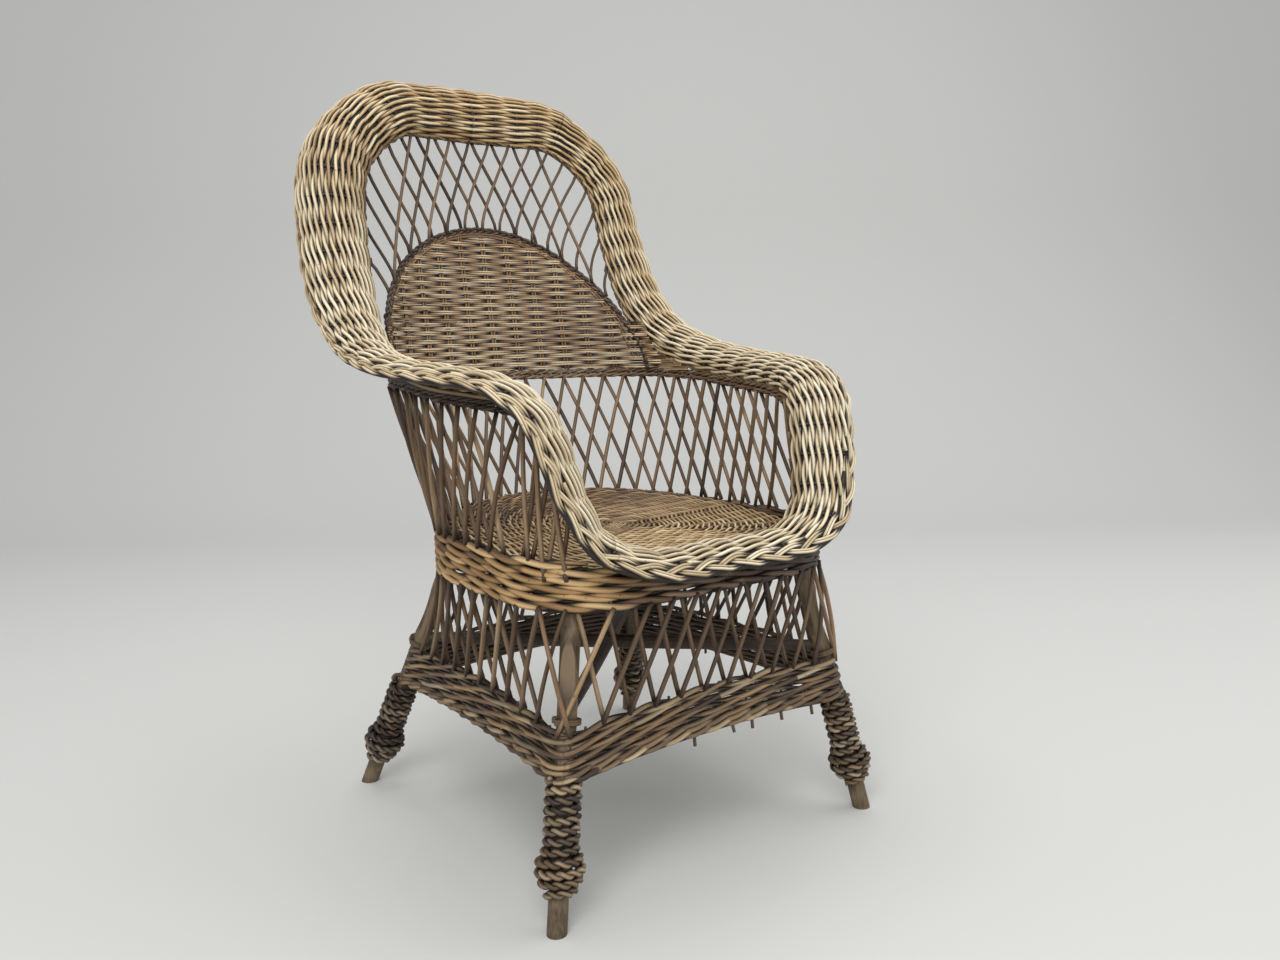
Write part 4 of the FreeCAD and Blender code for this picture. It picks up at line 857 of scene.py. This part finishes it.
def bowedRod(bundle, low, middle, high, outward, sink=3.0, gold=0.0, tone=0.5):
    t = np.linspace(0, 1, 13)[:, None]
    path = low * (1 - t) * (1 - 2 * t) + middle * 4 * t * (1 - t) + high * t * (2 * t - 1)
    axis = unit(high - low)
    path[0] -= axis * sink
    path[-1] += axis * sink
    sway = np.stack([0.5 * smoothNoise(13, 3) * (1 - (2 * t[:, 0] - 1) ** 4) for _ in range(3)], 1)
    path = path + sway * 0.8
    wide = lattice["rodWidth"] * 1.08 * (1 + 0.06 * smoothNoise(13, 4)) * chance.uniform(0.92, 1.04)
    # Darker at both ends where the rod goes into the weave: painted shade
    soil = np.interp(t[:, 0], [0, 0.06, 0.14, 0.88, 0.96, 1], [0.9, 0.5, 0.15, 0.12, 0.5, 0.9])
    addStrand(bundle, path, wide, tone + 0.14 * chance.normal(), gold, soil, np.tile(outward, (13, 1)), 8, flank=0.35)


def baseCorner(front, sign, level, inset):
    line = legLine(front, sign)
    side, reach = chair["baseFront"] if front else chair["baseRear"]
    shift = legAt(line, level) - legAt(line, chair["baseLevel"])
    return np.array([sign * (side - inset) + shift[0], reach + (1 if front else -1) * inset + shift[1], level])


# Sides of the base by the legs at their ends: at the front or not, on the left (-1) or the right (1)
sides = {
    "back": ((False, 1), (False, -1)), "left": ((False, -1), (True, -1)),
    "front": ((True, -1), (True, 1)), "right": ((True, 1), (False, 1)),
}


def baseTop(share):
    return chair["baseLevel"] + chair["baseRise"] * (1 - (2 * share - 1) ** 2)


def segmentGap(points, line):
    foot, top = line
    way = top - foot
    share = np.clip(((points - foot) @ way) / (way @ way), 0, 1)
    return np.linalg.norm(points - foot - share[:, None] * way, axis=1).min()


def clearOfLegs(points):
    dense = evenly(2.0, np.array(points))
    around = chair["legWidth"] / 2
    for line in legs.values():
        collar = (legAt(line, chair["collarLevel"]), legAt(line, chair["collarLevel"] + chair["collarHeight"]))
        if segmentGap(dense, line) < around + lattice["rodWidth"] / 2 + lattice["clear"]:
            return False
        if segmentGap(dense, collar) < around + 6 + lattice["rodWidth"] / 2 + 1.7:
            return False
    return True


for side, ((frontA, signA), (frontB, signB)) in sides.items():
    bundle = newBundle()
    for layer in (0, 1):
        inset = layerStart + layerStep * layer
        a, b = (baseCorner(front, sign, chair["baseLevel"], inset) for front, sign in ((frontA, signA), (frontB, signB)))
        runs = outlineRuns(inset)
        total = 2 * sum(runs)
        cornerRun = runs[0] + runs[1] / 2
        rearRun = total / 2 - chair["seatSide"] * math.pi / 4
        spans = {"front": (-cornerRun, cornerRun), "right": (cornerRun, rearRun),
                 "back": (rearRun, total - rearRun), "left": (total - rearRun, total - cornerRun)}
        start, end = spans[side]

        def lowAt(share):
            point = a + (b - a) * share
            point[2] = baseTop(share) + 0.6
            return point

        def highAt(share):
            run = start + (end - start) * share
            return np.array(outlineAt(run - total if run > total / 2 else run, inset, chair["bandLevel"]))

        lean = lattice["skirtLean"] / (end - start) * (-1 if layer else 1)
        for index in range(lattice["skirtCount"]):
            share = (index + 0.5) / lattice["skirtCount"]
            middle = (lowAt(share + lean / 2) + highAt(share + lean / 2)) / 2
            points = [lowAt(share), middle, highAt(share + lean)]
            if clearOfLegs(points):
                outward = unit((a + b) / 2 * np.array([1, 1, 0]))
                bowedRod(bundle, *points, outward, gold=0.25, tone=0.42)
    if side == "front":
        for sign in (-1, 1):
            corner = baseCorner(True, sign, chair["baseLevel"], 1.5)
            for lane in (-1, 1):
                low = corner + np.array([-sign * (14 if lane > 0 else 4), 4 if lane > 0 else 14, 1.0])
                high = np.array(outlineAt(sign * (cornerRun + lane * 42), 1.0, chair["bandLevel"]))
                middle = (low + high) / 2 + unit(np.array([sign, -1.0, 0])) * (3 + 2.8 * lane)
                bowedRod(bundle, low, middle, high, unit(np.array([sign, -1.0, 0])), gold=0.8, tone=0.68)
    makePiece("skirtRods" + side.capitalize(), bundle, finishes["rod"], ["skirt_rods_" + side])

wallStart = outlineRuns(0)[0] + outlineRuns(0)[1] * 0.75


def alongBand(share, inset):
    total = sum(outlineRuns(inset))
    run = wallStart + share * 2 * (total - wallStart)
    return np.array(outlineAt(run - 2 * total if run > total else run, inset, wallFoot))


wallParts = (("right", 0.0, 0.26), ("back_right", 0.26, 0.42), ("back", 0.42, 0.58),
             ("back_left", 0.58, 0.74), ("left", 0.74, 1.0))
wallBundles = {name: newBundle() for name, _, _ in wallParts}
for layer, way in ((0, 1), (1, -1)):
    inset = layerStart + layerStep * layer
    depth = waist["thick"] - inset
    for index in range(lattice["wallCount"]):
        share = (index + 0.5) / lattice["wallCount"]
        topShare = share + way * lattice["wallLean"] / waistRuns[-1]
        middleShare = (share + topShare) / 2
        if not 0.01 < topShare < 0.99 or (layer == 1 and share > 0.97):
            continue
        middle = (alongBand(middleShare, inset) + waistAt(middleShare, depth, waist["underside"])) / 2
        name = next(label for label, low, high in wallParts if low <= share < high)
        outward = unit((alongBand(middleShare, 0) + np.array([0, 30, 0])) * np.array([1, 1, 0]))
        high = waistAt(topShare, depth, waist["underside"])
        bowedRod(wallBundles[name], alongBand(share, inset), middle, high, outward, gold=0.45, tone=0.45)
for name, bundle in wallBundles.items():
    short = "".join(word.capitalize() for word in name.split("_"))
    makePiece("wallRods" + short, bundle, finishes["rod"], ["wall_rods_" + name])

# Rods that fan out under the arm fronts: reach of the foot, station of the head on the rim, layer
fanRods = [(-226, 5.0, 0), (-206, 5.4, 0), (-188, 5.8, 0), (-214, 3.3, 1), (-200, 4.0, 1), (-186, 4.6, 1), (-172, 5.2, 1)]
fanRuns = np.arange(0, sum(outlineRuns(0)), 1.0)
for sign, name in ((1, "right"), (-1, "left")):
    bundle = newBundle()
    for reach, station, layer in fanRods:
        inset = layerStart + layerStep * layer
        foot = next(run for run in fanRuns if outlineAt(run, inset, 0)[1] > reach)
        level = wallFoot if reach > -chair["upperEnd"] else chair["bandLevel"] + chair["bandHeight"]
        low = np.array(outlineAt(foot, inset, level - 1.0))
        edge, outward, _, _, _ = rimFrame(np.array([station]))
        high = edge[0] + outward[0] * (4.5 - 2.5 * layer)
        middle = (low + high) / 2 + np.array([2.5 - 5 * layer, 0, 0])
        flip = np.array([sign, 1, 1])
        bowedRod(bundle, low * flip, middle * flip, high * flip, np.array([sign, -0.3, 0]), sink=2.0, gold=0.4, tone=0.45)
    makePiece("fanRods" + name.capitalize(), bundle, finishes["rod"], ["fan_rods_" + name])

# Upper lattice: pairs of rods leave the arch upright, part and cross until they meet the rim
upper = {"pitch": 31.5, "lean": 0.58, "straight": 30.0, "above": 60.0, "easeIn": 0.3, "easeOut": 0.1, "rodWidth": 5.0}
edgeX, edgeY, edgeZ = (rimInner[::-1, k] for k in range(3))
for layer, name in ((0, "outer"), (1, "inner")):
    bundle = newBundle()
    shift = (0.5 - layer) * 1.1 * upper["rodWidth"]
    way = 1 if layer else -1
    radius = chair["archRadius"] + 8.0
    # The feet are placed so that the rods of one layer stand at one pitch a little above the arch
    sweep = np.radians(np.linspace(165, 9, 400))
    leans = upper["lean"] + np.where(np.cos(sweep) < 0, upper["easeIn"], upper["easeOut"]) * np.cos(sweep)
    climb = upper["above"] + radius * (1 - np.sin(sweep))
    lanes = radius * np.cos(sweep) + leans * climb ** 2 / (climb + upper["straight"])
    middleLane = float(np.interp(0.0, -np.cos(sweep)[::-1], lanes[::-1]))
    firstLane = lanes[0] + 2 + (middleLane - lanes[0] - 2) % upper["pitch"]
    for lane in np.arange(firstLane, lanes[-1], upper["pitch"]):
        angle = float(np.interp(lane, lanes, sweep))
        lean = way * float(np.interp(lane, lanes, leans)) * chance.uniform(0.97, 1.03)
        low = np.array([way * (radius * math.cos(angle) + 2.0), chair["backLevel"] + radius * math.sin(angle)])
        climb = np.arange(0, 400, 2.0)
        x = low[0] + lean * climb ** 2 / (climb + upper["straight"])
        level = low[1] + climb
        limit = np.interp(np.abs(x), edgeX, edgeZ)
        outside = np.flatnonzero((level > limit) | (np.abs(x) > edgeX[-1]))
        last = outside[0] if len(outside) else len(climb) - 1
        if climb[last] < 24:
            continue
        at, share = np.linspace(0, last, 12), np.linspace(0, 1, 12)
        x, level = (np.interp(at, np.arange(len(climb)), values) for values in (x, level))
        y = backReach(x, level) + panel["middle"]
        y = y + share * (np.interp(abs(x[-1]), edgeX, edgeY) + 4 - y[-1]) + shift
        line = np.stack([x, y, level + 3 * (share == 1) - 3 * (share == 0)], 1)
        line[1:-1] += 0.35 * np.stack([smoothNoise(10, 3) for _ in range(3)], 1)
        # Darker at both ends where the rod goes into the weave: painted shade
        soil = np.interp(share, [0, 0.08, 0.2, 0.9, 1], [0.7, 0.3, 0.1, 0.2, 0.8])
        width, tone = upper["rodWidth"] * chance.uniform(0.9, 1.08), 0.36 + 0.13 * chance.normal()
        addStrand(bundle, line, width, tone, 0.2, soil, np.tile(np.array([0.0, -1.0, 0.1]), (12, 1)), 8, flank=0.35)
    makePiece("backRods" + name.capitalize(), bundle, finishes["rod"], ["back_rods_" + name])
print("lattice rods laid")

# Base border: long wale rows round the four legs, with a corded lower edge
base = {
    "rowDrops": (4.2, 12.2, 20.2, 28.2, 36.2), "edgeDrops": (44.2, 50.6), "rodWidth": 7.0, "innerWidth": 6.0,
    "lift": 2.7, "sway": 4.0, "edgeSway": 2.4, "period": 134.0, "inset": 6.8, "corner": 39, "stakes": 22, "stakeWidth": 3.6,
    "stubs": {"front": (0.42, 0.55, 0.63, 0.74, 0.86, 0.93), "right": (0.3, 0.6, 0.8)}, "stubWidth": 4.2,
}


def baseLoop(drop, inset):
    points, names = [], []
    for side, ((frontA, signA), (frontB, signB)) in sides.items():
        for share in np.linspace(0, 1, 60, endpoint=False):
            level = baseTop(share) - drop
            a, b = baseCorner(frontA, signA, level, inset), baseCorner(frontB, signB, level, inset)
            points.append(a + (b - a) * share)
            names.append(side)
    points = np.array(points + points[:1])
    count = 900
    run = runAlong(points)
    at = np.linspace(0, run[-1], count, endpoint=False)
    dense = np.stack([np.interp(at, run, points[:, k]) for k in range(3)], 1)
    kernel = np.hanning(base["corner"] + 2)[1:-1]
    kernel /= kernel.sum()
    wrap = base["corner"] // 2
    wrapped = np.concatenate([dense[-wrap:], dense, dense[:wrap]])
    soft = np.stack([np.convolve(wrapped[:, k], kernel, "valid") for k in range(3)], 1)
    labels = np.array(names + names[:1])[np.clip(np.searchsorted(run, at, "right") - 1, 0, len(names))]
    return np.concatenate([soft, soft[:1]]), np.concatenate([labels, labels[:1]])


borderBundles = {side: newBundle() for side in sides}
edgeBundles = {side: newBundle() for side in sides}
for drops, bundles, isEdge in ((base["rowDrops"], borderBundles, False), (base["edgeDrops"], edgeBundles, True)):
    for row, drop in enumerate(drops):
        line, labels = baseLoop(drop, base["inset"])
        line, labels = line[::2], labels[::2]
        line[-1], labels[-1] = line[0], labels[0]
        line[:, 2] += 0.7 * smoothNoise(len(line), 14)
        outward = planOutward(line)
        length = runAlong(line)[-1]
        period = length / round(length / (base["period"] * (0.5 if isEdge else 1.0)))
        sideways = np.tile(up, (len(line), 1))
        sway = base["edgeSway"] if isEdge else base["sway"]
        # The inner strand is painted dark on its outer face: painted shade between the rows
        layStrand(bundles, labels, line - outward * 3.4 - sideways * 4.2, width=base["innerWidth"],
                  tone=0.35, gold=0.3, soil=0.2, out=-outward, under=1.0)
        for path, soil in twine(line, sideways, outward, period, 2, base["lift"], sway, 0.29 * row, 1.0, 0.8):
            tones = rodTones(len(line), length / len(line), 0.47, 0.13, 260)
            golden = np.clip(0.4 + 0.3 * chance.normal(), 0, 1)
            width = base["rodWidth"] * chance.uniform(0.86, 1.04) * (1.04 - 0.2 * soil)
            layStrand(bundles, labels, path, width=width, tone=tones, gold=golden, soil=1.1 * soil, out=outward, sides=8)


# Points down the border of a side, at a share of its length
def downBorder(side, share, drops, inset, tilt=0.0):
    points = []
    for drop in drops:
        a, b = (baseCorner(front, sign, baseTop(share) - drop, inset) for front, sign in sides[side])
        points.append(a + (b - a) * share + unit(b - a) * tilt * (drop - 42) / 20)
    return np.array(points)


for side in sides:
    for stake in range(base["stakes"]):
        points = downBorder(side, (stake + 0.5) / base["stakes"], np.linspace(-1, 38, 5), 8.6)
        addStrand(borderBundles[side], points, base["stakeWidth"], 0.3, 0.2, 0.6, None, 5)
    for stub in base["stubs"].get(side, ()):  # cut ends of stakes below the border
        tilt, long = chance.uniform(-4, 4), chance.uniform(8, 15)
        points = downBorder(side, stub, np.linspace(42, 54 + long, 4), 10.0, tilt)
        addStrand(edgeBundles[side], points, base["stubWidth"], 0.4, 0.3, 0.15)
    makePiece("baseBorder" + side.capitalize(), borderBundles[side], finishes["base"], ["base_border_" + side])
    makePiece("baseEdge" + side.capitalize(), edgeBundles[side], finishes["base"], ["base_edge_" + side])
print("base border woven")

# Leg windings: two twisted canes wound as one rope over a bound swelling
winding = {
    "bottom": 43, "top": 161, "turns": 11, "rope": 10.4, "strand": 5.7, "twist": 25.0, "lift": 2.35, "sway": 2.5,
    "bulgeLevel": 68, "bulgeRise": 8, "bulgeSpread": 26, "paddingRod": 2.6, "collarRod": 2.8,
}


def swelling(run):
    share = run / winding["bulgeSpread"]
    return np.where(np.abs(share) < 1, winding["bulgeRise"] * np.cos(np.clip(share, -1, 1) * math.pi / 2) ** 2, 0.0)


def legAxes(line):
    axis = unit(line[1] - line[0])
    first = unit(np.cross(axis, np.array([0.0, 1.0, 0.0])))
    return axis, first, np.cross(axis, first)


ropeBundle, paddingBundle, collarBundle = newBundle(), newBundle(), newBundle()
for number, line in enumerate(legs.values()):
    axis, first, second = legAxes(line)
    stretch = np.linalg.norm(line[1] - line[0]) / line[1][2]
    start, end, bulge = (winding[key] * stretch for key in ("bottom", "top", "bulgeLevel"))
    turn = np.linspace(0, winding["turns"], winding["turns"] * 48)
    run = start + (end - start) * turn / winding["turns"]
    out = np.cos(2 * math.pi * turn)[:, None] * first + np.sin(2 * math.pi * turn)[:, None] * second
    radius = chair["legWidth"] / 2 + 0.3 + swelling(run - bulge) + winding["rope"] / 2
    helix = line[0] + axis * run[:, None] + out * radius[:, None]
    outEven = evenly(2.3, helix, out, np.tile(axis, (len(helix), 1)))
    helix, out, axes = outEven[0], unit(outEven[1]), outEven[2]
    gold = np.clip(0.25 + 0.25 * smoothNoise(len(helix), 20), 0, 1)
    for path, soil in twine(helix, axes, out, winding["twist"], 2, winding["lift"], winding["sway"], 0.17 * number, -1.0):
        addStrand(ropeBundle, path, winding["strand"], rodTones(len(helix), 2.3, 0.5, 0.22, 120), gold, 0.75 * soil, out, 6)
    for ringRun in np.arange(-15, 16, 5.0):
        turn = np.linspace(0, 2 * math.pi, 29)
        out = np.cos(turn)[:, None] * first + np.sin(turn)[:, None] * second
        ringRadius = chair["legWidth"] / 2 + float(swelling(np.array([abs(ringRun) + 4.1]))[0]) - 0.4
        if ringRadius > chair["legWidth"] / 2 + 0.6:
            ring = line[0] + axis * (bulge + ringRun) + out * ringRadius
            addStrand(paddingBundle, ring, winding["paddingRod"], 0.35, 0.2, 0.6, out, 5)
    for low, high, away in ((0.8, 8.2, 1.5), (1.4, 7.6, 4.1)):  # two layers of turns make the collar
        turn = np.linspace(0, 3, 3 * 30)
        out = np.cos(2 * math.pi * turn)[:, None] * first + np.sin(2 * math.pi * turn)[:, None] * second
        run = chair["collarLevel"] * stretch + low + (high - low) * turn / 3
        path = line[0] + axis * run[:, None] + out * (chair["legWidth"] / 2 + away)
        addStrand(collarBundle, path, winding["collarRod"], 0.5, 0.5, 0.2, out)
makePiece("legRopes", ropeBundle, finishes["rope"], ["leg_wraps"])
makePiece("legPaddings", paddingBundle, finishes["rope"], ["leg_paddings"])
makePiece("legCollars", collarBundle, finishes["rope"], ["leg_collars"])

# Wooden pieces keep their solids and get their finish
for name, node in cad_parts.items():
    finish = "leg" if name.startswith("leg_") else "rail" if name.startswith("rail_") else "hoop"
    node.data.materials.clear()
    node.data.materials.append(finishes[finish])
print("windings and wood finished")

# Plain pale floor that sweeps up behind the chair
studio = {
    "floor": "#c6c6c3", "skyColour": "#f2f3f5", "skyLight": 0.72,
    "camera": (-0.82288, -1.22768, 0.64197), "yaw": -37.3225, "pitch": 7.5062, "roll": -1.0604, "lens": 29.53,
    "lamps": [("keyLamp", (-1.9, -2.0, 2.6), 2.2, 78.0), ("fillLamp", (2.4, -1.4, 1.8), 2.6, 22.0),
              ("topLamp", (0.3, 0.4, 3.2), 2.4, 36.0)],
}


# Place and turn of a lamp or the camera from its three axes
def turnedAt(place, axes):
    return Matrix.Translation(place) @ Matrix([[*row, 0] for row in np.stack(axes, 1)] + [[0, 0, 0, 1]])


azimuth, tilt, roll = (math.radians(studio[key]) for key in ("yaw", "pitch", "roll"))
back = np.array([math.sin(azimuth) * math.cos(tilt), -math.cos(azimuth) * math.cos(tilt), math.sin(tilt)])
bend = [(2.0 + 1.2 * math.sin(t), 1.2 - 1.2 * math.cos(t)) for t in np.linspace(0.15, math.pi / 2, 10)]
profile = [(-3.5, 0.0), (2.0, 0.0)] + bend + [(3.2, 5.0)]
sheet = bpy.data.meshes.new("studioFloor")
rows = [[(side, reach, level) for side in (-6.0, 6.0)] for reach, level in profile]
quads = [(2 * i, 2 * i + 1, 2 * i + 3, 2 * i + 2) for i in range(len(rows) - 1)]
sheet.from_pydata([p for row in rows for p in row], [], quads)
sheet.transform(Matrix.Rotation(azimuth, 4, "Z"))
sheet.shade_smooth()
floor = bpy.data.objects.new("studioFloor", sheet)
bpy.context.scene.collection.objects.link(floor)
plain, tree = newMaterial("plain pale studio floor")
shader = addNode(tree, "BsdfPrincipled", {"Base Color": linear(studio["floor"]), "Roughness": 0.85})
addNode(tree, "OutputMaterial", None, {"Surface": shader})
sheet.materials.append(plain)
floor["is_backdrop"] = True

# Soft studio light: a wide lamp from the front left and above, a weak one from the right
for name, place, size, power in studio["lamps"]:
    data = bpy.data.lights.new(name, "AREA")
    data.size = size
    data.energy = power
    lamp = bpy.data.objects.new(name, data)
    bpy.context.scene.collection.objects.link(lamp)
    way = unit(np.array([0.0, 0.0, 0.5]) - np.array(place))
    across = unit(np.cross(way, up))
    lamp.matrix_world = turnedAt(place, [across, np.cross(across, way), -way])
world = bpy.data.worlds.new("softStudio")
bpy.context.scene.world = world
world.use_nodes = True
world.node_tree.nodes["Background"].inputs[0].default_value = linear(studio["skyColour"])
world.node_tree.nodes["Background"].inputs[1].default_value = studio["skyLight"]
bpy.context.scene.view_settings.view_transform = "Standard"

# Camera where the photograph was taken from
forward = -back
right = unit(np.cross(forward, up))
above = np.cross(right, forward)
rightRolled = math.cos(roll) * right + math.sin(roll) * above
aboveRolled = -math.sin(roll) * right + math.cos(roll) * above
camera = bpy.data.objects.new("camera", bpy.data.cameras.new("camera"))
bpy.context.scene.collection.objects.link(camera)
camera.data.sensor_width = 36.0
camera.data.lens = studio["lens"]
camera.matrix_world = turnedAt(studio["camera"], [rightRolled, aboveRolled, back])
bpy.context.scene.camera = camera
print("studio ready")

low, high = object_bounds()
